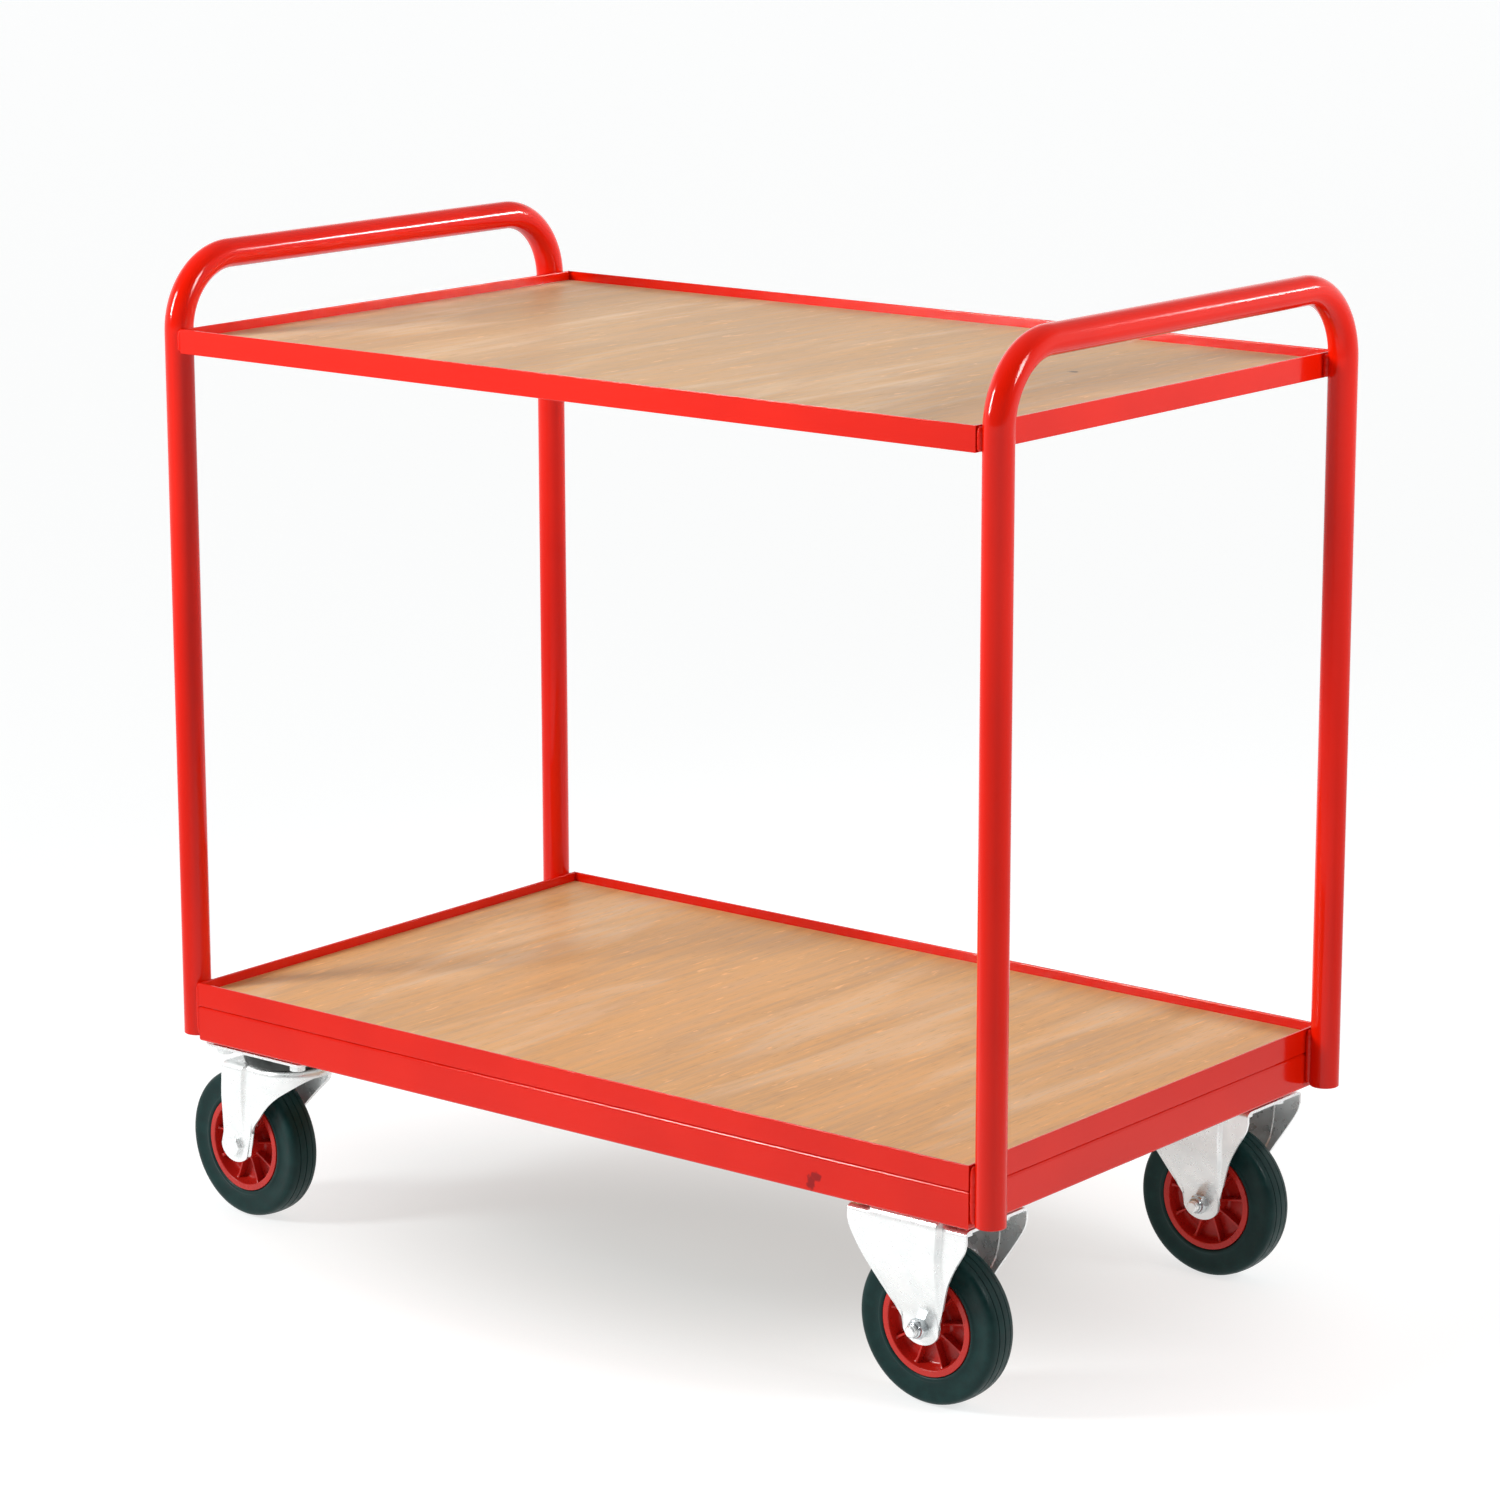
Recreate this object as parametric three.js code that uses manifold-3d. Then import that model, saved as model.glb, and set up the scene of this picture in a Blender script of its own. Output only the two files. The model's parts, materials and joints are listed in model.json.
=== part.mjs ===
// A two-tier tray trolley: two bent tube hoops carry an upper and a lower tray,
// and the lower tray stands on a box-section chassis with two swivel castors
// under its left end and two fixed castors under its right end.
//
// Millimetres, +Z up, X along the length, Y across the width. The floor is Z = 0
// and the origin is the middle of the trolley's footprint.

import * as THREE from 'three';
import { mergeVertices } from 'three/addons/utils/BufferGeometryUtils.js';
import Module from 'manifold-3d';

const wasm = await Module();
wasm.setup();

// ---------------------------------------------------------------- driving sizes

const gap = 0.3;                  // clearance between pieces that touch

const trayLength = 1006;
const trayWidth = 606;
const angleSize = 25;             // rolled angle, both legs
const angleThickness = 3;
const boardThickness = 12;

const chassisHeight = 38;         // rectangular hollow section
const chassisDepth = 25;
const chassisWall = 2;

const hoopRadius = 15;            // outside radius of the tube
const hoopWall = 2;
const hoopBend = 75;              // bend radius of the centreline
const hoopRise = 825;             // top centreline above the chassis underside
const hoopFootRise = 4;           // open tube ends stop short of the underside
const upperTrayRise = 731;        // upper tray underside above the chassis underside
const hoopStandOut = 1;           // tube stands proud of the tray's long faces

const wheelRadius = 81;
const castorHeight = 200;
const padThickness = 4;
const padLength = 126;
const padWidth = 98;
const castorY = 240;              // castors either side of the centreline
const fixedCastorX = 421;
const swivelCastorX = -435;
const swivelTrail = 55;           // kingpin axis to axle axis
const frontSwivelTurn = -3;       // degrees that the front swivel castor stands turned

const plateLength = 140;
const plateWidth = 110;
const plateThickness = 3;
const plateBoltX = 105;           // bolt spacing along the plate
const swivelBoltY = 80;
const fixedBoltY = 60;
const slotRadius = 5.5;
const slotTravel = 4;

const steel = 3;                  // pressed steel of brackets and forks
const legHalfWidth = 26;          // outside of the legs at the axle
const legLean = [                 // heights where a leg's lean changes, and the share left
  [-42, 1],
  [-62, 0.82],
  [-95, 0.25],
  [-109, 0],
];
const panelEnd = -104;            // where the raised panels run out, above the axle
const axleDrop = castorHeight - wheelRadius;
const bossHalfWidth = 21.5;       // the legs' rounded lower ends are half ellipses
const bossDepth = 17.5;

const crownDrop = 19;             // top of the swivel crown below the plate's top face
const crownHalfWidth = 44;
const crownCentreX = 5;           // the crown's front is an arc about this point
const crownRadius = 45;
const raceDepth = 10;             // bottom of the pressed race below the plate's top face
const raceRadius = 43;
const ballRingInner = 27;
const kingpinRadius = 8;

const axleRadius = 5.9;
const sleeveRadius = 8.7;
const bearingInner = 9.0;
const bearingOuter = 12.4;
const hubBore = 12.7;
const hubRadius = 16.5;
const hubHalfLength = 21.5;
const rimRadius = 51.5;
const rimHalfWidth = 18;
const webHalf = 2.5;
const ribHalf = 12;
const ribThickness = 2.6;
const ribCount = 9;
const tyreHalfWidth = 18;

const nutFlats = 18;
const nutLength = 12;
const headLength = 7.5;
const boltEnd = 44;               // free end of the axle bolt from the wheel's middle

// ---------------------------------------------------------------- worked out

const chassisBottom = castorHeight + padThickness;
const lowerTrayBottom = chassisBottom + chassisHeight + gap;
const upperTrayBottom = chassisBottom + upperTrayRise;
const hoopX = trayLength / 2 + hoopRadius + 2 * gap;
const hoopY = trayWidth / 2 - hoopRadius + hoopStandOut;
const lowestX = swivelCastorX - swivelTrail - wheelRadius;
const highestX = hoopX + hoopRadius;
const trayCentreX = -(lowestX + highestX) / 2;
const beyond = 100;               // farther than any castor reaches from its own middle

// ---------------------------------------------------------------- materials

function enamel() {
  return new THREE.MeshStandardMaterial({ color: 0xd4140c, roughness: 0.25, metalness: 0.0 });
}

function veneer() {
  return new THREE.MeshStandardMaterial({ color: 0xc39a6b, roughness: 0.55, metalness: 0.0 });
}

function zinc() {
  return new THREE.MeshStandardMaterial({ color: 0xd9dcde, roughness: 0.3, metalness: 1.0 });
}

function redPlastic() {
  return new THREE.MeshStandardMaterial({ color: 0xb8160f, roughness: 0.35, metalness: 0.0 });
}

function blackRubber() {
  return new THREE.MeshStandardMaterial({ color: 0x1b2422, roughness: 0.6, metalness: 0.0 });
}

function darkSteel() {
  return new THREE.MeshStandardMaterial({ color: 0x4a4d50, roughness: 0.45, metalness: 1.0 });
}

// ---------------------------------------------------------------- solids

function toSolid(geometry) {
  const bare = geometry.clone();
  bare.deleteAttribute('normal');
  bare.deleteAttribute('uv');
  const merged = mergeVertices(bare, 1e-4);
  return new wasm.Manifold(new wasm.Mesh({
    numProp: 3,
    vertProperties: new Float32Array(merged.attributes.position.array),
    triVerts: new Uint32Array(merged.index.array),
  }));
}

function toGeometry(solid) {
  const mesh = solid.getMesh();
  const geometry = new THREE.BufferGeometry();
  geometry.setAttribute('position', new THREE.BufferAttribute(mesh.vertProperties, 3));
  geometry.setIndex(new THREE.BufferAttribute(mesh.triVerts, 1));
  geometry.computeVertexNormals();
  return geometry;
}

function outline(points) {
  return new THREE.Shape(points.map(([a, b]) => new THREE.Vector2(a, b)));
}

function extrude(shape, length, curveSegments = 6) {
  return new THREE.ExtrudeGeometry(shape, { depth: length, bevelEnabled: false, curveSegments });
}

// The shape's axes are Y and Z, and the length runs from low to high along X.
function alongX(shape, low, high, curveSegments) {
  const turn = new THREE.Matrix4().makeBasis(
    new THREE.Vector3(0, 1, 0), new THREE.Vector3(0, 0, 1), new THREE.Vector3(1, 0, 0));
  return extrude(shape, high - low, curveSegments).applyMatrix4(turn).translate(low, 0, 0);
}

// The shape's axes are X and Z, and the length runs from low to high along Y.
function alongY(shape, low, high, curveSegments) {
  return extrude(shape, high - low, curveSegments).rotateX(Math.PI / 2).translate(0, high, 0);
}

// The shape's axes are X and Y, and the length runs from low to high along Z.
function alongZ(shape, low, high, curveSegments) {
  return extrude(shape, high - low, curveSegments).translate(0, 0, low);
}

// A turned ring about the Y axis. The profile is [radius, place along Y], closed on itself,
// and one flat of the facets faces straight down.
function turned(profile, segments) {
  const closed = [...profile, profile[0]].map(([r, y]) => new THREE.Vector2(r, y));
  return new THREE.LatheGeometry(closed, segments, Math.PI / segments);
}

// A profile that is the same on both sides of Y = 0, from its +Y half, which runs outwards.
function mirroredProfile(half) {
  return [...half.map(([r, y]) => [r, -y]), ...[...half].reverse()];
}

function turnedAboutZ(profile, segments) {
  return turned(profile, segments).rotateX(Math.PI / 2);
}

function piece(name, geometry, material) {
  const mesh = new THREE.Mesh(geometry, material);
  mesh.name = name;
  return mesh;
}

// ---------------------------------------------------------------- trays and chassis

// A straight bar with both ends cut at 45 degrees. Its outside face lies on Y = near.
function mitredBar(length, near, far, low, high) {
  const half = length / 2 - gap;
  return alongZ(outline([
    [-half + near, near],
    [half - near, near],
    [half - far, far],
    [-half + far, far],
  ]), low, high);
}

function angleBar(length) {
  const lip = toSolid(mitredBar(length, 0, angleThickness, 0, angleSize));
  const flange = toSolid(mitredBar(length, 0, angleSize, 0, angleThickness));
  return toGeometry(lip.add(flange));
}

function hollowBar(length) {
  const outside = toSolid(mitredBar(length, 0, chassisDepth, 0, chassisHeight));
  const bore = new THREE.BoxGeometry(
    length, chassisDepth - 2 * chassisWall, chassisHeight - 2 * chassisWall);
  bore.translate(0, chassisDepth / 2, chassisHeight / 2);
  return toGeometry(outside.subtract(toSolid(bore)));
}

// Four mitred bars around the tray's outline.
function rectangleOf(name, bar, bottom) {
  const sides = [
    ['front', trayLength, 0, 0, -trayWidth / 2],
    ['right', trayWidth, Math.PI / 2, trayLength / 2, 0],
    ['back', trayLength, Math.PI, 0, trayWidth / 2],
    ['left', trayWidth, -Math.PI / 2, -trayLength / 2, 0],
  ];
  return sides.map(([side, length, turn, x, y]) => {
    const mesh = piece(`${name}_${side}`, bar(length), enamel());
    mesh.rotation.z = turn;
    mesh.position.set(x, y, bottom);
    return mesh;
  });
}

function board(name, trayBottom) {
  const margin = 2 * (angleThickness + gap);
  const mesh = piece(name, new THREE.BoxGeometry(
    trayLength - margin, trayWidth - margin, boardThickness), veneer());
  mesh.position.z = trayBottom + angleThickness + gap + boardThickness / 2;
  return mesh;
}

function crossMember(name, x) {
  const length = trayWidth - 2 * (chassisDepth + gap);
  const section = new THREE.BoxGeometry(chassisDepth, length, chassisHeight);
  const bore = new THREE.BoxGeometry(
    chassisDepth - 2 * chassisWall, length + 2, chassisHeight - 2 * chassisWall);
  const mesh = piece(name, toGeometry(toSolid(section).subtract(toSolid(bore))), enamel());
  mesh.position.set(x, 0, chassisBottom + chassisHeight / 2);
  return mesh;
}

// ---------------------------------------------------------------- hoops

// An upside-down U in the YZ plane: leg, bend, top, bend, leg.
class HoopPath extends THREE.Curve {
  constructor(bendSteps) {
    super();
    const top = hoopRise;
    const reach = hoopY - hoopBend;
    this.points = [new THREE.Vector3(0, -hoopY, hoopFootRise)];
    for (const side of [-1, 1]) {
      for (let i = 0; i <= bendSteps; i += 1) {
        const step = side < 0 ? i : bendSteps - i;
        const turn = (step / bendSteps) * (Math.PI / 2);
        this.points.push(new THREE.Vector3(
          0,
          side * (reach + hoopBend * Math.cos(turn)),
          top - hoopBend + hoopBend * Math.sin(turn),
        ));
      }
    }
    this.points.push(new THREE.Vector3(0, hoopY, hoopFootRise));
    this.steps = this.points.length - 1;
    this.bendSteps = bendSteps;
  }

  getPoint(t) {
    return this.points[Math.round(t * this.steps)].clone();
  }

  getPointAt(t) {
    return this.getPoint(t);
  }

  // The tangent turns evenly from straight up, through along +Y, to straight down.
  getTangentAt(t) {
    const step = Math.round(t * this.steps);
    const first = THREE.MathUtils.clamp(step - 1, 0, this.bendSteps);
    const second = THREE.MathUtils.clamp(step - this.bendSteps - 2, 0, this.bendSteps);
    const turn = ((first + second) / this.bendSteps) * (Math.PI / 2);
    return new THREE.Vector3(0, Math.sin(turn), Math.cos(turn));
  }
}

function hoop(name, x) {
  const ring = new THREE.Shape();
  ring.absarc(0, 0, hoopRadius, 0, 2 * Math.PI);
  const bore = new THREE.Path();
  bore.absarc(0, 0, hoopRadius - hoopWall, 0, 2 * Math.PI, true);
  ring.holes.push(bore);
  const path = new HoopPath(6);
  const geometry = new THREE.ExtrudeGeometry(ring, {
    steps: path.steps, extrudePath: path, curveSegments: 10, bevelEnabled: false,
  });
  const mesh = piece(name, toGeometry(toSolid(geometry)), enamel());
  mesh.position.set(x, 0, chassisBottom);
  return mesh;
}

// ---------------------------------------------------------------- wheels

function tyre() {
  const flats = 32;
  const inner = rimRadius + gap;
  const reach = 1 / Math.cos(Math.PI / flats);  // so that each facet lies on the true radius
  const side = [
    [inner, tyreHalfWidth - 1.5],
    [inner + 4, tyreHalfWidth],
    [wheelRadius - 9, tyreHalfWidth],
    [wheelRadius - 3, tyreHalfWidth - 3],
    [wheelRadius, tyreHalfWidth - 8],
  ];
  return turned(mirroredProfile(side).map(([r, y]) => [r * reach, y]), flats);
}

function wheelCentre() {
  const segments = 24;
  const rimInner = rimRadius - 7.5;
  const side = [
    [hubBore, hubHalfLength],
    [hubRadius, hubHalfLength],
    [hubRadius + 1, webHalf],
    [rimInner, webHalf],
    [rimInner + 1.5, rimHalfWidth],
    [rimRadius, rimHalfWidth],
  ];
  let solid = toSolid(turned(mirroredProfile(side), segments));
  const length = rimInner + 0.5 - hubRadius;
  for (let i = 0; i < ribCount; i += 1) {
    const rib = new THREE.BoxGeometry(length, 2 * ribHalf, ribThickness);
    rib.translate(hubRadius + length / 2, 0, 0);
    rib.rotateY((i / ribCount) * 2 * Math.PI);
    solid = solid.add(toSolid(rib));
  }
  return toGeometry(solid);
}

function axleSleeve() {
  const half = legHalfWidth - steel - gap;
  return turned([
    [axleRadius + gap, -half], [sleeveRadius, -half], [sleeveRadius, half], [axleRadius + gap, half],
  ], 16);
}

function rollerBearing() {
  const half = hubHalfLength - 1;
  return turned([
    [bearingInner, -half], [bearingOuter, -half], [bearingOuter, half], [bearingInner, half],
  ], 20);
}

function hexagon(flats) {
  const corner = flats / 2 / Math.cos(Math.PI / 6);
  const points = [];
  for (let i = 0; i < 6; i += 1) {
    const turn = (i / 6) * 2 * Math.PI;
    points.push([corner * Math.cos(turn), corner * Math.sin(turn)]);
  }
  return outline(points);
}

function roundHole(radius) {
  const hole = new THREE.Path();
  hole.absarc(0, 0, radius, 0, 2 * Math.PI, true);
  return hole;
}

// The bolt's head is on the +Y side and its threaded end on the -Y side.
function axleBolt() {
  const face = legHalfWidth + gap;
  const shankTop = face + 1;      // the shank runs a little way into the head
  const shank = new THREE.CylinderGeometry(axleRadius, axleRadius, boltEnd + shankTop, 16);
  shank.translate(0, (shankTop - boltEnd) / 2, 0);
  const head = alongY(hexagon(nutFlats), face, face + headLength);
  return toGeometry(toSolid(shank).add(toSolid(head)));
}

function axleNut() {
  const shape = hexagon(nutFlats);
  shape.holes.push(roundHole(axleRadius + gap));
  const face = legHalfWidth + gap;
  return alongY(shape, -face - nutLength, -face);
}

function wheelSet(name, boltSide) {
  const bolt = piece(`${name}_axle_bolt`, axleBolt(), zinc());
  const nut = piece(`${name}_axle_nut`, axleNut(), zinc());
  const turn = boltSide < 0 ? 0 : Math.PI;
  bolt.rotation.z = turn;
  nut.rotation.z = turn;
  return [
    bolt,
    nut,
    piece(`${name}_axle_sleeve`, axleSleeve(), darkSteel()),
    piece(`${name}_roller_bearing`, rollerBearing(), darkSteel()),
    piece(`${name}_wheel_centre`, wheelCentre(), redPlastic()),
    piece(`${name}_tyre`, tyre(), blackRubber()),
  ];
}

// ---------------------------------------------------------------- pressed steel

// The cross-section of an upside-down channel: two legs that lean in from the crown to
// the axle, joined over a rounded bend. It is solid inside.
function channel(crownZ, shoulder, foot, bend, inset) {
  const top = crownZ - inset;
  const radius = bend - inset;
  const side = leanCorners(shoulder, foot, inset);
  side.push([-axleDrop - beyond, foot - inset]);
  const shape = new THREE.Shape();
  [...side].reverse().forEach(([z, y], i) => (i ? shape.lineTo(y, z) : shape.moveTo(y, z)));
  shape.absarc(shoulder - inset - radius, top - radius, radius, 0, Math.PI / 2);
  shape.absarc(-shoulder + inset + radius, top - radius, radius, Math.PI / 2, Math.PI);
  side.forEach(([z, y]) => shape.lineTo(-y, z));
  return shape;
}

// Half width over the legs at the heights where their lean changes, as [z, y] pairs.
function leanCorners(shoulder, foot, inset) {
  return legLean.map(([z, share]) => [z, foot + share * (shoulder - foot) - inset]);
}

// A raised panel on both legs: it stands proud of the channel by rise at the crown, gets
// flatter towards the axle boss, and has sloping flanks.
function raisedPanel(crownZ, shoulder, foot, rise, low, high, inset) {
  const top = crownZ - inset;
  const down = leanCorners(shoulder, foot, inset).slice(0, -1);
  const corners = [
    [top, shoulder - 3 + rise - inset],
    [top - 6, shoulder + rise - inset],
    ...down.map(([z, y]) => [z, y + rise * (1 - 0.7 * z / down.at(-1)[0])]),
    [panelEnd, foot - inset - 1],
  ];
  const shape = new THREE.Shape();
  corners.forEach(([z, y], i) => (i ? shape.lineTo(y, z) : shape.moveTo(y, z)));
  [...corners].reverse().forEach(([z, y]) => shape.lineTo(-y, z));
  const slope = rise * 0.7;
  const narrowing = inset * 0.4;  // keeps the sheet about as thick on the flanks
  const side = [
    [low - slope, shoulder - inset],
    [low + narrowing, shoulder + rise - inset],
    [high - narrowing, shoulder + rise - inset],
    [high + slope, shoulder - inset],
  ];
  const flanks = outline([...side, ...[...side].reverse().map(([x, y]) => [x, -y])]);
  const body = toSolid(alongX(shape, low - slope, high + slope));
  return body.intersect(toSolid(alongZ(flanks, -beyond - axleDrop, beyond)));
}

function pressing(form, legs) {
  const shell = form(0).subtract(form(steel));
  return shell.intersect(toSolid(alongY(legs, -beyond, beyond, 5)));
}

function boreThroughLegs(solid, x) {
  const bore = new THREE.CylinderGeometry(axleRadius + gap, axleRadius + gap, 2 * beyond, 16);
  bore.translate(x, 0, -axleDrop);
  return solid.subtract(toSolid(bore));
}

function boreForKingpin(solid) {
  const radius = kingpinRadius + gap;
  const bore = new THREE.CylinderGeometry(radius, radius, 2 * beyond, 16);
  return solid.subtract(toSolid(bore.rotateX(Math.PI / 2)));
}

function slot(x, y) {
  const path = new THREE.Shape();
  path.absarc(x - slotTravel / 2, y, slotRadius, Math.PI / 2, 3 * Math.PI / 2);
  path.absarc(x + slotTravel / 2, y, slotRadius, -Math.PI / 2, Math.PI / 2);
  return path;
}

function cutSlots(solid, spacingY) {
  let result = solid;
  for (const x of [-plateBoltX / 2, plateBoltX / 2]) {
    for (const y of [-spacingY / 2, spacingY / 2]) {
      result = result.subtract(toSolid(alongZ(slot(x, y), -raceDepth - 1, 1, 4)));
    }
  }
  return result;
}

function fixedLegOutline() {
  const half = plateLength / 2;
  const shape = new THREE.Shape();
  const edge = [[half, 1], [half, -16], [66, -26], [56, -43], [44, -66], [31, -94]];
  edge.forEach(([x, z], i) => (i ? shape.lineTo(x, z) : shape.moveTo(x, z)));
  shape.absellipse(0, -axleDrop, bossHalfWidth, bossDepth, 0.3, -Math.PI - 0.3, true);
  [...edge].reverse().forEach(([x, z]) => shape.lineTo(-x, z));
  return shape;
}

function fixedBracket() {
  const shoulder = plateWidth / 2 - 5;
  const panelHalf = 36;
  const form = (inset) => {
    const wings = toSolid(alongX(channel(0, shoulder, legHalfWidth, 8, inset), -beyond, beyond, 3));
    return wings.add(raisedPanel(0, shoulder, legHalfWidth, 6, -panelHalf, panelHalf, inset));
  };
  const legs = pressing(form, fixedLegOutline());
  return toGeometry(cutSlots(boreThroughLegs(legs, 0), fixedBoltY));
}

// The trailing edge is straight, and the leading edge sweeps forward to the crown's rim.
function swivelLegOutline() {
  const shape = new THREE.Shape();
  const tip = crownCentreX + crownRadius + 2;
  shape.moveTo(-46, -crownDrop + 1);
  shape.lineTo(-49, -crownDrop - 9);
  shape.absellipse(
    -swivelTrail, -axleDrop, bossHalfWidth, bossDepth, Math.PI - 0.1, 2 * Math.PI + 0.3, false);
  shape.lineTo(-28, -100);
  shape.quadraticCurveTo(-8, -76, 17, -55);
  shape.quadraticCurveTo(38, -36, tip, -crownDrop - 6);
  shape.lineTo(tip, -crownDrop + 1);
  return shape;
}

function swivelFork() {
  const panelFront = -24;
  const form = (inset) => {
    const crown = channel(-crownDrop, crownHalfWidth, legHalfWidth, 9, inset);
    const wings = toSolid(alongX(crown, -beyond, beyond, 3));
    return wings.add(raisedPanel(
      -crownDrop, crownHalfWidth, legHalfWidth, 4, -beyond, panelFront, inset));
  };
  const plan = new THREE.Shape();
  plan.moveTo(-beyond, -beyond);
  plan.lineTo(crownCentreX, -beyond);
  plan.lineTo(crownCentreX, -crownRadius);
  plan.absarc(crownCentreX, 0, crownRadius, -Math.PI / 2, Math.PI / 2);
  plan.lineTo(crownCentreX, beyond);
  plan.lineTo(-beyond, beyond);
  const legs = pressing(form, swivelLegOutline());
  const trimmed = legs.intersect(toSolid(alongZ(plan, -beyond - axleDrop, beyond, 12)));
  return toGeometry(boreForKingpin(boreThroughLegs(trimmed, -swivelTrail)));
}

function topPlate() {
  const corner = 6;
  const halfX = plateLength / 2 - corner;
  const halfY = plateWidth / 2 - corner;
  const shape = new THREE.Shape();
  shape.absarc(halfX, halfY, corner, 0, Math.PI / 2);
  shape.absarc(-halfX, halfY, corner, Math.PI / 2, Math.PI);
  shape.absarc(-halfX, -halfY, corner, Math.PI, 3 * Math.PI / 2);
  shape.absarc(halfX, -halfY, corner, 3 * Math.PI / 2, 2 * Math.PI);
  const plate = toSolid(alongZ(shape, -plateThickness, 0, 3));
  const race = toSolid(turnedAboutZ([
    [ballRingInner - 3, -1],
    [ballRingInner - 1, -raceDepth + 1],
    [raceRadius - 5, -raceDepth],
    [raceRadius, -raceDepth / 2],
    [raceRadius + 2, -1],
  ], 28));
  return toGeometry(cutSlots(boreForKingpin(plate.add(race)), swivelBoltY));
}

function ballRing() {
  const bottom = -crownDrop + gap;
  const top = -raceDepth - gap;
  return turnedAboutZ([
    [ballRingInner, bottom],
    [raceRadius - 3, bottom],
    [raceRadius, bottom + 3],
    [raceRadius, top - 3],
    [raceRadius - 3, top],
    [ballRingInner, top],
  ], 28);
}

function kingpin() {
  const core = 0.5;
  const headTop = -crownDrop - steel - gap;
  return turnedAboutZ([
    [core, headTop - 9],
    [kingpinRadius, headTop - 9],
    [kingpinRadius + 1, headTop - 5],
    [kingpinRadius + 6, headTop - 5],
    [kingpinRadius + 9, headTop],
    [kingpinRadius, headTop],
    [kingpinRadius, 0],
    [core, 0],
  ], 16);
}

// ---------------------------------------------------------------- castors

function fixedCastor(name, y) {
  const castor = new THREE.Group();
  castor.position.set(fixedCastorX, y, castorHeight);
  castor.add(piece(`${name}_bracket`, fixedBracket(), zinc()));
  for (const mesh of wheelSet(name, -1)) {
    mesh.position.z = -axleDrop;
    castor.add(mesh);
  }
  return castor;
}

// The fork and its wheel stand turned about the kingpin by the given degrees.
function swivelCastor(name, y, turn) {
  const castor = new THREE.Group();
  castor.position.set(swivelCastorX, y, castorHeight);
  castor.add(piece(`${name}_top_plate`, topPlate(), zinc()));
  castor.add(piece(`${name}_ball_race`, ballRing(), darkSteel()));
  castor.add(piece(`${name}_kingpin`, kingpin(), zinc()));
  const swivel = new THREE.Group();
  swivel.rotation.z = THREE.MathUtils.degToRad(turn);
  swivel.add(piece(`${name}_fork`, swivelFork(), zinc()));
  for (const mesh of wheelSet(name, 1)) {
    mesh.position.x = -swivelTrail;
    mesh.position.z = -axleDrop;
    swivel.add(mesh);
  }
  castor.add(swivel);
  return castor;
}

function castorPad(name, x, y) {
  const thickness = padThickness - 2 * gap;
  const mesh = piece(name, new THREE.BoxGeometry(padLength, padWidth, thickness), enamel());
  mesh.position.set(x, y, castorHeight + padThickness / 2);
  return mesh;
}

// ---------------------------------------------------------------- the trolley

const trolley = new THREE.Group();
trolley.position.x = trayCentreX;

trolley.add(hoop('left_hoop', -hoopX), hoop('right_hoop', hoopX));
trolley.add(...rectangleOf('upper_tray', angleBar, upperTrayBottom));
trolley.add(...rectangleOf('lower_tray', angleBar, lowerTrayBottom));
trolley.add(...rectangleOf('chassis_rail', hollowBar, chassisBottom));
trolley.add(board('upper_deck', upperTrayBottom), board('lower_deck', lowerTrayBottom));

const inwards = (plateLength - chassisDepth) / 2;
trolley.add(crossMember('cross_member_left', swivelCastorX + inwards));
trolley.add(crossMember('cross_member_right', fixedCastorX - inwards));

for (const [side, y, turn] of [['front', -castorY, frontSwivelTurn], ['back', castorY, 0]]) {
  trolley.add(castorPad(`castor_pad_left_${side}`, swivelCastorX, y));
  trolley.add(castorPad(`castor_pad_right_${side}`, fixedCastorX, y));
  trolley.add(swivelCastor(`left_${side}`, y, turn));
  trolley.add(fixedCastor(`right_${side}`, y));
}

export default trolley;
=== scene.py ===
"""The looks of a two-tier tray trolley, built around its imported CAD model.

Shapes are worked out in millimetres in the part's own frame and turned into metres when a
mesh is made. Places come from the boxes of the CAD nodes.
"""

import json
import math

import bmesh
import bpy
from mathutils import Matrix, Vector, noise

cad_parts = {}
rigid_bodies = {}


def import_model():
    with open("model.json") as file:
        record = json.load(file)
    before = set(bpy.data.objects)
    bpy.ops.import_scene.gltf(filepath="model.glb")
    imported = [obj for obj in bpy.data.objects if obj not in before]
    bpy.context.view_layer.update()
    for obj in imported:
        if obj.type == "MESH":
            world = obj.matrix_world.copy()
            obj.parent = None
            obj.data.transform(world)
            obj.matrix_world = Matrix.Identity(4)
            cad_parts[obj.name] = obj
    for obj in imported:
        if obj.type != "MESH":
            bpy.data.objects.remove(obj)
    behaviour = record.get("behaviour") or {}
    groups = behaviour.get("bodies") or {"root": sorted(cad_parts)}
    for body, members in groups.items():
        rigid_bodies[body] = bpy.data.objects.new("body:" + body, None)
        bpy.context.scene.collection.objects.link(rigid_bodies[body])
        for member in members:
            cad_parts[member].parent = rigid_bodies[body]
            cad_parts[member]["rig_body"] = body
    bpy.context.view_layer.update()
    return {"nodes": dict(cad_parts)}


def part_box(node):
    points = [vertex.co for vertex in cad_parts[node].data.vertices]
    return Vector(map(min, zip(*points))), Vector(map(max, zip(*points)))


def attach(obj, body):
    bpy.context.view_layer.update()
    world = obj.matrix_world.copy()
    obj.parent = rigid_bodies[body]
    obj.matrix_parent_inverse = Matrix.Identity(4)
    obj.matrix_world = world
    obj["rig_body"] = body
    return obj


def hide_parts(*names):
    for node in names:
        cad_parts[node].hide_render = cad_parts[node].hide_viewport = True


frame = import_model()

MM = 0.001

# -------------------- driving sizes, in mm

ANGLE_THICKNESS = 3
ANGLE_HEEL = 0.9
ANGLE_ROOT = 3.0
ANGLE_TOE = 1.2
FLANGE_EDGE = 0.4
RIM_EDGE = 0.5
BOX_CORNER = 3.2
BOARD_CORNER = 1.5
BOARD_EASE = 0.7
PAD_CORNER = 3

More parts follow.
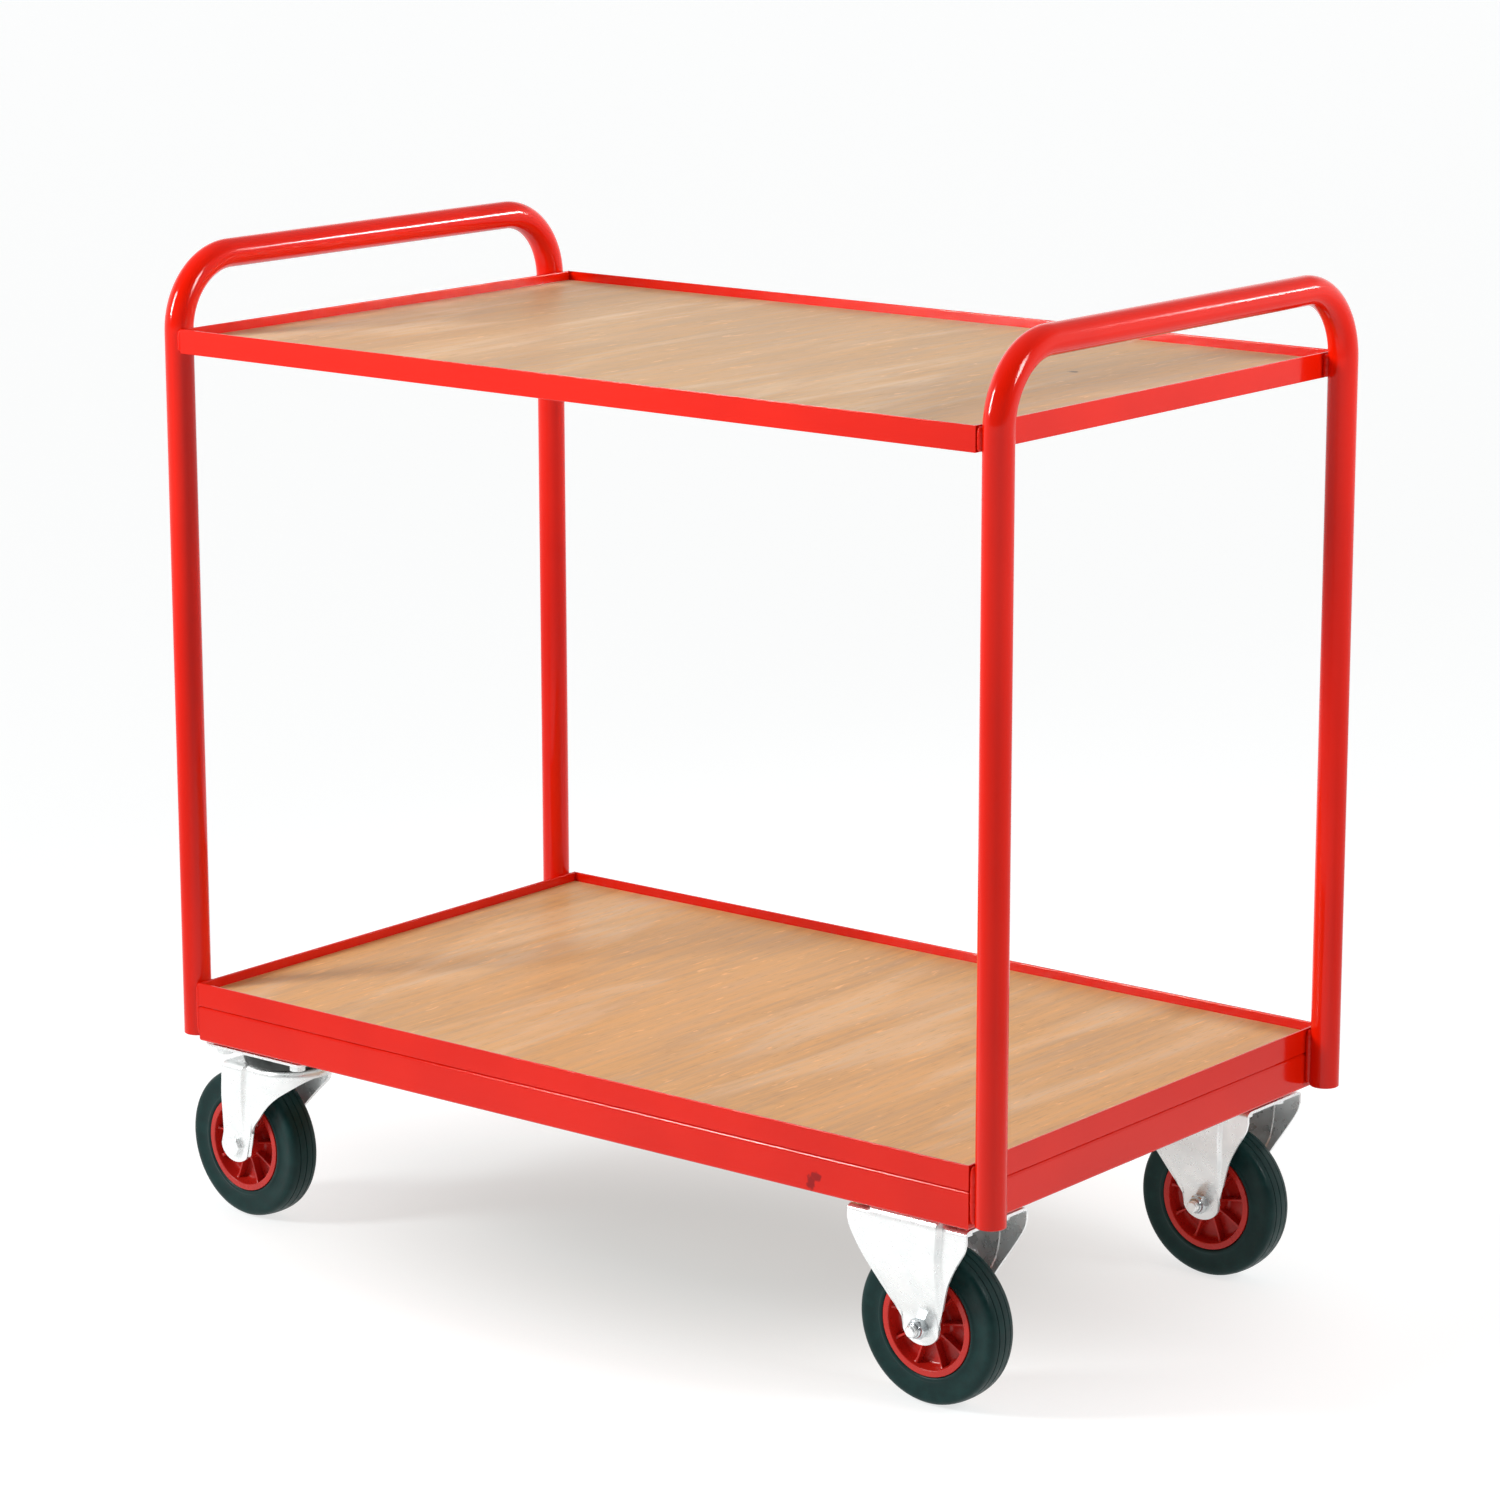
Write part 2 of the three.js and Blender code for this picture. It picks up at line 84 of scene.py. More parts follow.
HOOP_BEND = 75
HOOP_WALL = 2
HOOP_LIP = 0.6
HOOP_SIDES = 48

WELD_RADIUS = 3.7
WELD_RIPPLE = 0.03
WELD_RIPPLE_PITCH = 3.6
WELD_WOBBLE = 0.1
WELD_WOBBLE_LENGTH = 6
WELD_STEP = 0.8
WELD_SIDES = 14
WELD_INSET = 1
WELD_ABOVE_RAIL = 5
WELD_OFF_TRAY = 2.8
WELD_ASIDE = 9.8

PLATE_LENGTH = 140
PLATE_WIDTH = 110
PLATE_CORNER = 6
PLATE_EDGE = 0.5
PRESSED_STEEL = 3
BOLT_SPACING_X = 105
SWIVEL_BOLT_SPACING_Y = 80
FIXED_BOLT_SPACING_Y = 60
SLOT_RADIUS = 5.5
SLOT_TRAVEL = 4
WING_START = 42
WING_STEP = 6
WING_DROP = 3.5
SHEET_EDGE = 0.6
CLEARANCE = 0.3

AXLE_DROP = 119
TRAIL = 55
BOSS_HALF_WIDTH = 21.5
BOSS_DEPTH = 17.5
LEG_HALF_WIDTH = 26
# How much of a leg's lean is left at each height below the plate: (height, share).
BRACKET_LEAN = [(-119, 0), (-111, 0.04), (-102, 0.15), (-92, 0.33), (-78, 0.57), (-64, 0.79),
                (-54, 0.91), (-44, 0.98), (-34, 1), (0, 1)]
FORK_LEAN = [(-119, 0.15), (-108, 0.16), (-98, 0.24), (-26, 1), (0, 1)]

BRACKET_SHOULDER = PLATE_WIDTH / 2 - 5
BRACKET_BEND = 8
BRACKET_PANEL_RISE = 6
BRACKET_CREST_RISE = 3
BRACKET_PANEL_END = AXLE_DROP - 12

CROWN_DROP = 19
CROWN_HALF_WIDTH = 44
CROWN_RADIUS = 45
CROWN_CENTRE_X = 5
FORK_BEND = 7
FORK_SLANT = 26.5 / 99
FORK_PANEL_EDGE_X = -17
FORK_PANEL_FLANK = 3

RIM_RADIUS = 51.5
HUB_HALF_LENGTH = 21.5
RIB_COUNT = 9
RIB_CREST = 11.8
RIB_HALF_WIDTH = 1.15
ROLLER_COUNT = 16
NUT_FLATS = 18
NUT_LENGTH = 12
COLLAR_HEIGHT = 3.4
HEAD_LENGTH = 7.5
BOLT_RADIUS = 5.9
BOLT_END = 44
THREAD_PITCH = 1.75

FIXING_FLATS = 16
FIXING_HEAD_LENGTH = 6.2
WASHER_THICKNESS = 2

# -------------------- how finely shapes are cut

CORNER_STEP_DEGREES = 15
SHARP_DEGREES = 38
BENT_SHEET_SHARP_DEGREES = 55
MERGE_DISTANCE = 0.02
TYRE_SEGMENTS = 144
WHEEL_SEGMENTS = 96
RACE_SEGMENTS = 64
NUT_SEGMENTS = 48
TURNED_SEGMENTS = 40
BOLT_SEGMENTS = 32
ROLLER_SEGMENTS = 10

# -------------------- colours, floor and camera

# The pale tone of the sheen painted on the oak veneer.
PAINTED_SHEEN_TONE = (0.76, 0.54, 0.34)
PALE_OAK = (0.53, 0.312, 0.150)
WARM_OAK = (0.62, 0.335, 0.130)

FLOOR_HALF_WIDTH = 60
FLOOR_GAP = 0.0004
FLOOR_GLOW = 0.79
FLOOR_DIMMING = 0.34
# How much of the floor's glow the shadow painted under the trolley takes away.
FLOOR_PAINTED_SHADOW = 0.28

CAMERA_AZIMUTH = math.radians(38.82)
CAMERA_ELEVATION = math.radians(12.908)
CAMERA_ROLL = math.radians(-0.081)
CAMERA_DISTANCE = 4.927
CAMERA_LENS = 115.34
TARGET_HEIGHT = 0.5365


# -------------------- shapes


class Shape:
    """Points and faces gathered for one mesh, in millimetres."""

    def __init__(self):
        self.points = []
        self.faces = []

    def grid(self, rows, close_rows=False, close_columns=False, cap=False):
        """Faces between rows of points. The rows, or the points in each row, may close up."""
        base = len(self.points)
        width = len(rows[0])
        for row in rows:
            self.points.extend(Vector(p) for p in row)
        for i in range(len(rows) if close_rows else len(rows) - 1):
            here = base + i * width
            there = base + (i + 1) % len(rows) * width
            for j in range(width if close_columns else width - 1):
                k = (j + 1) % width
                self.faces.append((here + j, here + k, there + k, there + j))
        if cap:
            last = base + (len(rows) - 1) * width
            self.faces.append(tuple(reversed(range(base, base + width))))
            self.faces.append(tuple(range(last, last + width)))
        return self

    def prism(self, rows):
        """Joins closed sections in order and caps both ends."""
        return self.grid(rows, False, True, cap=True)

    def lathe(self, profile, segments, closed=True):
        """Turns a profile of (radius, height) about Z. An open profile gets flat end caps."""
        rows = [ring(radius, height, segments) for radius, height in profile]
        return self.grid(rows, closed, True, not closed)

    def moved(self, place):
        self.points = [place @ p for p in self.points]
        return self

    def join(self, other):
        base = len(self.points)
        self.points.extend(other.points)
        self.faces.extend(tuple(base + i for i in face) for face in other.faces)
        return self


def ring(radius, height, segments):
    """A circle about Z. The radius may be a function of the angle."""
    points = []
    for i in range(segments):
        turn = 2 * math.pi * i / segments
        reach = radius(turn) if callable(radius) else radius
        points.append((reach * math.cos(turn), reach * math.sin(turn), height))
    return points


def circle(spot, side, up, radius, count):
    """Points around a spot, in the plane of two directions."""
    points = []
    for i in range(count):
        turn = 2 * math.pi * i / count
        points.append(spot + radius * (math.cos(turn) * side + math.sin(turn) * up))
    return points


def rounded(corners):
    """The points of a closed polygon with rounded corners. Each corner is (x, y, radius)."""
    points = []
    for i, (x, y, radius) in enumerate(corners):
        here = Vector((x, y))
        before = (Vector(corners[i - 1][:2]) - here).normalized()
        after = (Vector(corners[(i + 1) % len(corners)][:2]) - here).normalized()
        half = before.angle(after) / 2
        centre = here + (before + after).normalized() * (radius / math.sin(half))
        start = here + before * (radius / math.tan(half)) - centre
        turn = math.pi - 2 * half
        if before.cross(after) > 0:
            turn = -turn
        steps = max(2, math.ceil(abs(math.degrees(turn)) / CORNER_STEP_DEGREES))
        for k in range(steps + 1):
            arm = start.copy()
            arm.rotate(Matrix.Rotation(turn * k / steps, 2))
            points.append(centre + arm)
    return points


def rounded_rectangle(x0, y0, x1, y1, radius):
    return rounded([(x0, y0, radius), (x1, y0, radius), (x1, y1, radius), (x0, y1, radius)])


def between(x, stops):
    """Straight-line interpolation through (place, value) stops, held flat beyond both ends."""
    if x <= stops[0][0]:
        return stops[0][1]
    for (x0, v0), (x1, v1) in zip(stops, stops[1:]):
        if x <= x1:
            return v0 + (v1 - v0) * (x - x0) / (x1 - x0)
    return stops[-1][1]


def ease(x):
    """A smooth step: 0 up to 0, 1 from 1 on."""
    x = min(1.0, max(0.0, x))
    return x * x * (3 - 2 * x)


def hexagon(flats):
    """The radius of a hexagon at an angle."""
    def radius(turn):
        sector = (turn + math.pi / 6) % (math.pi / 3) - math.pi / 6
        return flats / 2 / math.cos(sector)
    return radius


def hex_prism(flats, low, high, chamfer_high=True):
    """A hexagonal nut or bolt head along Z, its corners turned down at one end or at both."""
    flat = hexagon(flats)
    corner = flats / 2 / math.cos(math.pi / 6)
    face = flats / 2 * 0.94
    depth = (corner - face) * math.tan(math.radians(30))

    def turned_down(t):
        limit = face + (corner - face) * t
        return lambda turn: min(flat(turn), limit)

    steps = [0, 0.35, 0.7, 1]
    rows = [(turned_down(t), low + depth * t) for t in steps]
    if chamfer_high:
        rows += [(turned_down(t), high - depth * t) for t in reversed(steps)]
    else:
        rows.append((flat, high))
    return Shape().lathe(rows, NUT_SEGMENTS, closed=False)


# -------------------- pieces


def mm_box(node):
    low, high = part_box(node)
    return low / MM, high / MM


def middle(node):
    low, high = mm_box(node)
    return (low + high) / 2


def top_centre(node):
    """The middle of the top of a node's box."""
    low, high = mm_box(node)
    return Vector(((low.x + high.x) / 2, (low.y + high.y) / 2, high.z))


def on_top(node):
    """The place at the middle of the top of a node's box."""
    return Matrix.Translation(top_centre(node))


def body_of(node):
    return frame["nodes"][node]["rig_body"]


def add_piece(name, shape, finish, body, replaces=(), thickness=0.0, bevel=0.0,
              sharp=SHARP_DEGREES, material=None):
    """Makes a mesh object from a shape and hangs it on its CAD body.

    A thickness turns an open sheet into a solid, inwards from its outer side. Edges that turn
    by more than the sharp angle are shaded as edges, and bevelled if a bevel is given.
    """
    mesh = bpy.data.meshes.new(name)
    mesh.from_pydata([p * MM for p in shape.points], [], shape.faces)
    work = bmesh.new()
    work.from_mesh(mesh)
    bmesh.ops.remove_doubles(work, verts=work.verts, dist=MERGE_DISTANCE * MM)
    bmesh.ops.recalc_face_normals(work, faces=work.faces)
    if thickness:
        top = max(work.faces, key=lambda f: f.calc_center_median().z)
        if top.normal.z < 0:
            bmesh.ops.reverse_faces(work, faces=work.faces)
    work.to_mesh(mesh)
    work.free()
    mesh.shade_smooth()
    mesh.set_sharp_from_angle(angle=math.radians(sharp))
    mesh.materials.append(material or finishes[finish])
    piece = bpy.data.objects.new(name, mesh)
    bpy.context.scene.collection.objects.link(piece)
    if thickness:
        shell = piece.modifiers.new("sheet", "SOLIDIFY")
        shell.thickness = thickness * MM
        shell.offset = -1
    if bevel:
        edge = piece.modifiers.new("edges", "BEVEL")
        edge.width = bevel * MM
        edge.segments = 3
        edge.limit_method = "ANGLE"
        edge.angle_limit = math.radians(sharp)
        edge.harden_normals = True
    even = piece.modifiers.new("even_shading", "WEIGHTED_NORMAL")
    even.keep_sharp = True
    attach(piece, body)
    if replaces:
        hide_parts(*replaces)


def stand_in(node, shape, finish, **options):
    """A piece that takes the place of one CAD node."""
    add_piece(f"{node}_piece", shape, finish, body_of(node), [node], **options)


# -------------------- materials


def shade(colour, share):
    """A darker or lighter version of a colour."""
    return tuple(c * share for c in colour)


class Finish:
    """A Principled material being wired up."""

    def __init__(self, name, colour, **values):
        self.material = bpy.data.materials.new(name)
        self.material.use_nodes = True
        self.tree = self.material.node_tree
        self.shader = self.tree.nodes["Principled BSDF"]
        self.set("Base Color", (*colour, 1))
        for socket, value in values.items():
            self.set(socket.replace("_", " "), value)
        self.place = self.node("TexCoord").outputs["Object"]

    def set(self, socket, value):
        if isinstance(value, bpy.types.NodeSocket):
            self.tree.links.new(value, self.shader.inputs[socket])
        else:
            self.shader.inputs[socket].default_value = value

    def node(self, kind, inputs=(), **settings):
        made = self.tree.nodes.new("ShaderNode" + kind)
        for key, value in settings.items():
            setattr(made, key, value)
        for socket, value in dict(inputs).items():
            if isinstance(value, bpy.types.NodeSocket):
                self.tree.links.new(value, made.inputs[socket])
            else:
                made.inputs[socket].default_value = value
        return made

    def drawn_out(self, share):
        """Places with their Y scaled down, so that noise runs long along Y."""
        return self.node("Mapping", {"Vector": self.place, "Scale": (1, share, 1)}).outputs[0]

    def noise(self, place, scale, detail=3, roughness=0.5, distortion=0.0):
        made = self.node("TexNoise", {
            "Vector": place, "Scale": scale, "Detail": detail,
            "Roughness": roughness, "Distortion": distortion,
        })
        return made.outputs["Fac"]

    def ramp(self, value, low, high, to_low=0.0, to_high=1.0):
        """A smooth step from one value to another while the input goes from low to high."""
        inputs = dict(enumerate((value, low, high, to_low, to_high)))
        return self.node("MapRange", inputs, interpolation_type="SMOOTHSTEP").outputs[0]

    def mix(self, factor, first, second):
        """Mixes two colours, through the colour sockets of a Mix node."""
        made = self.node("Mix", {0: factor}, data_type="RGBA")
        for socket, value in ((6, first), (7, second)):
            if isinstance(value, bpy.types.NodeSocket):
                self.tree.links.new(value, made.inputs[socket])
            else:
                made.inputs[socket].default_value = (*value, 1)
        return made.outputs[2]

    def math(self, operation, *values):
        return self.node("Math", dict(enumerate(values)), operation=operation).outputs[0]

    def vector_math(self, operation, *values):
        made = self.node("VectorMath", dict(enumerate(values)), operation=operation)
        gives_number = operation in ("DOT_PRODUCT", "LENGTH")
        return made.outputs["Value" if gives_number else "Vector"]

    def bump(self, *layers):
        """Each layer is (height, depth in mm)."""
        normal = None
        for height, depth in layers:
            made = self.node("Bump", {"Height": height, "Distance": depth * MM, "Strength": 1.0})
            if normal is not None:
                self.tree.links.new(normal, made.inputs["Normal"])
            normal = made.outputs[0]
        self.set("Normal", normal)

    def mottled(self, drift, first, second):
        """A colour that drifts between two tones."""
        self.set("Base Color", self.mix(drift, first, second))

    def uneven_gloss(self, scale, low, high, detail=3):
        """A roughness that drifts between two values."""
        drift = self.noise(self.place, scale, detail)
        self.set("Roughness", self.ramp(drift, 0.3, 0.7, low, high))

    def grain(self, *layers):
        """A fine relief. Each layer is (scale, depth in mm)."""
        self.bump(*((self.noise(self.place, scale, 2), depth) for scale, depth in layers))

    def near(self, centre, reach):
        """1 at a point, falling to 0 at its reach, with a slightly ragged edge."""
        offset = self.vector_math("SUBTRACT", self.place, [c * MM for c in centre])
        scaled = self.vector_math("MULTIPLY", offset, [1 / (r * MM) for r in reach])
        ripple = self.ramp(self.noise(self.place, 220), 0.3, 0.7, -0.2, 0.2)
        ragged = self.math("ADD", self.vector_math("LENGTH", scaled), ripple)
        return self.ramp(ragged, 0.55, 1.0, 1.0, 0.0)


def enamel(name, blemishes=()):
    """Stoved red powder coat: glossy, with a fine orange peel."""
    made = Finish(name, (0.66, 0.009, 0.001), Specular_IOR_Level=0.26)
    broad = made.ramp(made.noise(made.place, 7, 2), 0.3, 0.7)
    colour = made.mix(broad, (0.64, 0.0075, 0.0005), (0.70, 0.0095, 0.0008))
    for centre, reach in blemishes:
        colour = made.mix(made.near(centre, reach), colour, (0.30, 0.0, 0.0))
    made.set("Base Color", colour)
    made.uneven_gloss(45, 0.09, 0.15)
    made.grain((420, 0.012), (60, 0.03))
    return made.material


def veneer(name, pale, knots=()):
    """Oak veneer with its grain along Y: leaves, soft bands, painted sheen, streaks and rays."""
    made = Finish(name, pale, Specular_IOR_Level=0.3)
    deep = shade(pale, 0.84)
    leaves = made.ramp(made.noise(made.drawn_out(0.02), 5.5, 1), 0.4, 0.6)
    bands = made.ramp(made.noise(made.drawn_out(0.11), 18, 4, 0.6, 0.5), 0.34, 0.66)
    # Broad pale patches of painted sheen: glare on the boards, painted into their colour.
    painted_sheen = made.noise(made.drawn_out(0.17), 11, 4, 0.55, 0.6)
    streaks = made.noise(made.drawn_out(0.045), 120, 5, 0.65, 0.3)
    pores = made.noise(made.drawn_out(0.05), 800, 2, 0.5)
    rays = made.noise(made.drawn_out(0.16), 170, 3, 0.55, 0.5)
    colour = made.mix(bands, deep, pale)
    colour = made.mix(made.ramp(leaves, 0, 1, 0, 0.35), colour, shade(deep, 0.93))
    colour = made.mix(made.ramp(painted_sheen, 0.5, 0.68, 0.0, 0.5), colour, PAINTED_SHEEN_TONE)
    colour = made.mix(made.ramp(streaks, 0.36, 0.64, 0.0, 0.5), colour, shade(pale, 1.28))
    colour = made.mix(made.ramp(pores, 0.58, 0.72, 0.0, 0.45), colour, shade(deep, 0.6))
    colour = made.mix(made.ramp(rays, 0.62, 0.72, 0.0, 0.6), colour, shade(pale, 1.5))
    for centre, reach in knots:
        colour = made.mix(made.near(centre, reach), colour, shade(deep, 0.25))
    made.set("Base Color", colour)
    made.set("Roughness", made.ramp(streaks, 0.3, 0.7, 0.38, 0.55))
    made.bump((pores, 0.06), (streaks, 0.05))
    return made.material


def bright_zinc():
    """Bright zinc plate: pale, metallic and faintly mottled."""
    made = Finish("bright_zinc", (0.9, 0.9, 0.9), Metallic=0.6)
    drift = made.ramp(made.noise(made.place, 55), 0.3, 0.7)
    made.mottled(drift, (0.86, 0.89, 0.89), (0.93, 0.95, 0.945))
    made.uneven_gloss(90, 0.24, 0.34)
    return made.material


def nut_zinc():
    """The turned zinc of the axle nuts, greyer and shinier than the pressings."""
    made = Finish("nut_zinc", (0.6, 0.63, 0.65), Metallic=0.95)
    worn = made.ramp(made.noise(made.place, 160, 2), 0.35, 0.7)
    made.mottled(worn, (0.52, 0.56, 0.58), (0.68, 0.71, 0.72))
    made.uneven_gloss(300, 0.16, 0.28, 2)
    return made.material


def red_plastic():
    """Moulded plastic with a slightly uneven gloss and a fine grain."""
    made = Finish("red_plastic", (0.5, 0.01, 0.01), Specular_IOR_Level=0.35)
    drift = made.ramp(made.noise(made.place, 30, 2), 0.3, 0.7)
    made.mottled(drift, (0.44, 0.012, 0.008), (0.52, 0.017, 0.010))
    made.uneven_gloss(120, 0.24, 0.36)
    made.grain((1100, 0.006), (90, 0.04))
    return made.material


def black_rubber():
    """Near-black rubber with a cool tint and a patchy film of dust."""
    made = Finish("black_rubber", (0.004, 0.016, 0.015), Specular_IOR_Level=0.2)
    dust = made.ramp(made.noise(made.place, 70, 4, 0.6), 0.35, 0.75)
    made.mottled(dust, (0.0004, 0.019, 0.018), (0.003, 0.030, 0.028))
    made.uneven_gloss(140, 0.36, 0.5)
    made.grain((1300, 0.012), (60, 0.05))
    return made.material


def bearing_steel():
    """Dark, oily, finely grained steel."""
    made = Finish("bearing_steel", (0.08, 0.08, 0.08), Metallic=0.6, Specular_IOR_Level=0.3)
    stain = made.ramp(made.noise(made.place, 60), 0.35, 0.65)
    made.mottled(stain, (0.030, 0.034, 0.033), (0.05, 0.055, 0.053))
    made.uneven_gloss(200, 0.28, 0.45)
    made.grain((900, 0.004))
    return made.material


# A small run in the paint of the front rail, and one knot in the upper board: where each mark
# is and how far it reaches along X, Y and Z.
rail_front = mm_box("chassis_rail_front")[0].y
deck_top = mm_box("upper_deck")[1].z
paint_run = [
    ((342, rail_front, 221), (9, 6, 5)),
    ((336, rail_front, 214), (6, 6, 9)),
]
knot = [((364, 74, deck_top), (7, 5, 5))]

finishes = {
    "red_enamel": enamel("red_enamel"),
    "oak_veneer": veneer("oak_veneer", PALE_OAK, knot),
    "bright_zinc": bright_zinc(),
    "nut_zinc": nut_zinc(),
    "red_plastic": red_plastic(),
    "black_rubber": black_rubber(),
    "bearing_steel": bearing_steel(),
}
marked_enamel = enamel("red_enamel_with_run", paint_run)
warm_veneer = veneer("oak_veneer_warm", WARM_OAK)


# -------------------- trays and chassis


def bar(profile, length, mitre):
    """A bar along X whose profile is (depth, height). Mitred ends are cut at 45 degrees."""
    rows = []
    for end in (-1, 1):
        rows.append([(end * (length / 2 - mitre * depth), depth, height)
                     for depth, height in profile])
    return Shape().prism(rows)


def angle_profile(size):
    """An L with its heel at the origin, and rounded root and toes."""
    t = ANGLE_THICKNESS
    return rounded([
        (0, 0, ANGLE_HEEL), (size, 0, FLANGE_EDGE), (size, t, ANGLE_TOE),
        (t, t, ANGLE_ROOT), (t, size, ANGLE_TOE), (0, size, RIM_EDGE),
    ])


def box_profile(depth, height):
    return rounded_rectangle(0, 0, depth, height, BOX_CORNER)


def rectangle_of(name, profile):
    """Four mitred bars around a tray or the chassis."""
    x0 = mm_box(f"{name}_left")[0].x
    x1 = mm_box(f"{name}_right")[1].x
    y0 = mm_box(f"{name}_front")[0].y
    y1 = mm_box(f"{name}_back")[1].y
    bottom = mm_box(f"{name}_front")[0].z
    centre = Vector(((x0 + x1) / 2, (y0 + y1) / 2, bottom))
    long = x1 - x0
    wide = y1 - y0
    sides = [
        ("front", long, wide, 0), ("right", wide, long, 90),
        ("back", long, wide, 180), ("left", wide, long, 270),
    ]
    for side, length, across, turn in sides:
        place = (Matrix.Translation(centre) @ Matrix.Rotation(math.radians(turn), 4, "Z")
                 @ Matrix.Translation((0, -across / 2, 0)))
        shape = bar(profile, length, 1).moved(place)
        marked = marked_enamel if name == "chassis_rail" and side == "front" else None
        stand_in(f"{name}_{side}", shape, "red_enamel", material=marked)


def board(node, material):
    """A board with its edges eased."""
    low, high = mm_box(node)
    centre = (low + high) / 2
    plan = rounded_rectangle(low.x, low.y, high.x, high.y, BOARD_CORNER)
    levels = [
        (low.z, BOARD_EASE), (low.z + BOARD_EASE, 0), (high.z - BOARD_EASE, 0),
        (high.z - BOARD_EASE * 0.3, BOARD_EASE * 0.3), (high.z, BOARD_EASE),
    ]
    rows = []
    for z, inset in levels:
        rows.append([
            (x - math.copysign(inset, x - centre.x), y - math.copysign(inset, y - centre.y), z)
            for x, y in plan
        ])
    stand_in(node, Shape().prism(rows), "oak_veneer", material=material)


def cross_member(node):
    low, high = mm_box(node)
    profile = box_profile(high.x - low.x, high.z - low.z)
    place = (Matrix.Translation((low.x, (low.y + high.y) / 2, low.z))
             @ Matrix.Rotation(math.radians(90), 4, "Z") @ Matrix.Scale(-1, 4, (0, 1, 0)))
    shape = bar(profile, high.y - low.y, 0).moved(place)
    stand_in(node, shape, "red_enamel")


def castor_pad(node):
    low, high = mm_box(node)
    plan = rounded_rectangle(low.x, low.y, high.x, high.y, PAD_CORNER)
    rows = [[(x, y, z) for x, y in plan] for z in (low.z, high.z)]
    stand_in(node, Shape().prism(rows), "red_enamel", bevel=SHEET_EDGE)


# -------------------- hoops


def hoop_stations(node):
    """Centres and directions along the tube, from the front foot over the top to the back foot."""
    low, high = mm_box(node)
    radius = (high.x - low.x) / 2
    x = (low.x + high.x) / 2
    reach = (high.y - low.y) / 2 - radius
    top = high.z - radius
    leg_steps = 6
    top_steps = 4
    bend_steps = 24
    stations = []

    def straight(start, end, steps):
        start = Vector(start)
        end = Vector(end)
        for i in range(steps):
            stations.append((start.lerp(end, i / steps), (end - start).normalized()))

    def bend(centre_y, first):
        for i in range(bend_steps):
            turn = first + math.pi / 2 * i / bend_steps
            spot = Vector((x, centre_y - HOOP_BEND * math.cos(turn),
                           top - HOOP_BEND + HOOP_BEND * math.sin(turn)))
            stations.append((spot, Vector((0, math.sin(turn), math.cos(turn)))))

    side = reach - HOOP_BEND
    straight((x, -reach, low.z), (x, -reach, top - HOOP_BEND), leg_steps)
    bend(-side, 0)
    straight((x, -side, top), (x, side, top), top_steps)
    bend(side, math.pi / 2)
    straight((x, reach, top - HOOP_BEND), (x, reach, low.z), leg_steps)
    stations.append((Vector((x, reach, low.z)), Vector((0, 0, -1))))
    return stations, radius


def hoop(node):
    """A bent tube, its ends open and their outer edges eased."""
    stations, radius = hoop_stations(node)
    inner = radius - HOOP_WALL

    def section(spot, along, size):
        side = Vector((1, 0, 0))
        return circle(spot, side, along.cross(side), size, HOOP_SIDES)

    first, first_along = stations[0]
    last, last_along = stations[-1]
    rows = [section(first, first_along, radius - HOOP_LIP)]
    rows += [section(first + first_along * HOOP_LIP, first_along, radius)]
    rows += [section(spot, along, radius) for spot, along in stations[1:-1]]
    rows += [section(last - last_along * HOOP_LIP, last_along, radius)]
    rows += [section(last, last_along, radius - HOOP_LIP)]
    rows += [section(last, last_along, inner)]
    rows += [section(spot, along, inner) for spot, along in reversed(stations[1:-1])]
    rows += [section(first, first_along, inner)]
    stand_in(node, Shape().grid(rows, True, True), "red_enamel")


def weld_bead(name, start, end, seed):
    """A short run of overlapping weld pools, painted over."""
    length = (end - start).length
    along = (end - start).normalized()
    side = along.orthogonal().normalized()
    up = along.cross(side)
    steps = max(8, int(length / WELD_STEP))
    rows = []
    for i in range(steps + 1):
        t = i / steps
        ripple = WELD_RIPPLE * math.cos(2 * math.pi * t * length / WELD_RIPPLE_PITCH)
        wobble = WELD_WOBBLE * noise.noise(Vector((t * length / WELD_WOBBLE_LENGTH, seed, 0)))
        taper = math.sqrt(max(0.02, 1 - (2 * t - 1) ** 8))
        reach = WELD_RADIUS * (1 + ripple + wobble) * taper
        rows.append(circle(start.lerp(end, t), side, up, reach, WELD_SIDES))
    add_piece(name, Shape().prism(rows), "red_enamel", "frame")


def hoop_welds():
    """Beads in the grooves on both sides of the line where each tube meets the trays."""
    levels = {
        "upper": (mm_box("upper_tray_front")[0].z, mm_box("upper_tray_front")[1].z),
        "lower": (mm_box("chassis_rail_front")[0].z + WELD_ABOVE_RAIL,
                  mm_box("lower_tray_front")[1].z),
    }
    seed = 0
    for side, sign in (("left", -1), ("right", 1)):
        low, high = mm_box(f"{side}_hoop")
        radius = (high.x - low.x) / 2
        edge = mm_box(f"upper_tray_{side}")[1 if sign > 0 else 0].x
        for end, y, outwards in (("front", low.y + radius, -1), ("back", high.y - radius, 1)):
            for level, (bottom, top) in levels.items():
                for groove, across in (("outer", outwards), ("inner", -outwards)):
                    seed += 1
                    x = edge + sign * WELD_OFF_TRAY
                    beside = y + across * WELD_ASIDE
                    weld_bead(f"weld_{side}_{end}_{level}_{groove}",
                              Vector((x, beside, bottom + WELD_INSET)),
                              Vector((x, beside, top - WELD_INSET)), seed)


# -------------------- wheels


def mirrored(half):
    """A closed profile from its upper half, given outwards from the bore."""
    return [(r, -h) for r, h in half] + [(r, h) for r, h in reversed(half)]


def axle_direction(name):
    """The way along a castor's axle towards the back, from where its wheel trails."""
    if f"{name}_top_plate" not in frame["nodes"]:
        return Vector((0, 1, 0))
    trail = middle(f"{name}_tyre") - middle(f"{name}_top_plate")
    return Vector((trail.y, -trail.x, 0)).normalized()


def on_axle(name, side=1):
    """The place at the middle of a wheel with Z along its axle, towards the back for side 1."""
    turn = (side * axle_direction(name)).to_track_quat("Z", "X").to_matrix().to_4x4()
    return Matrix.Translation(middle(f"{name}_tyre")) @ turn


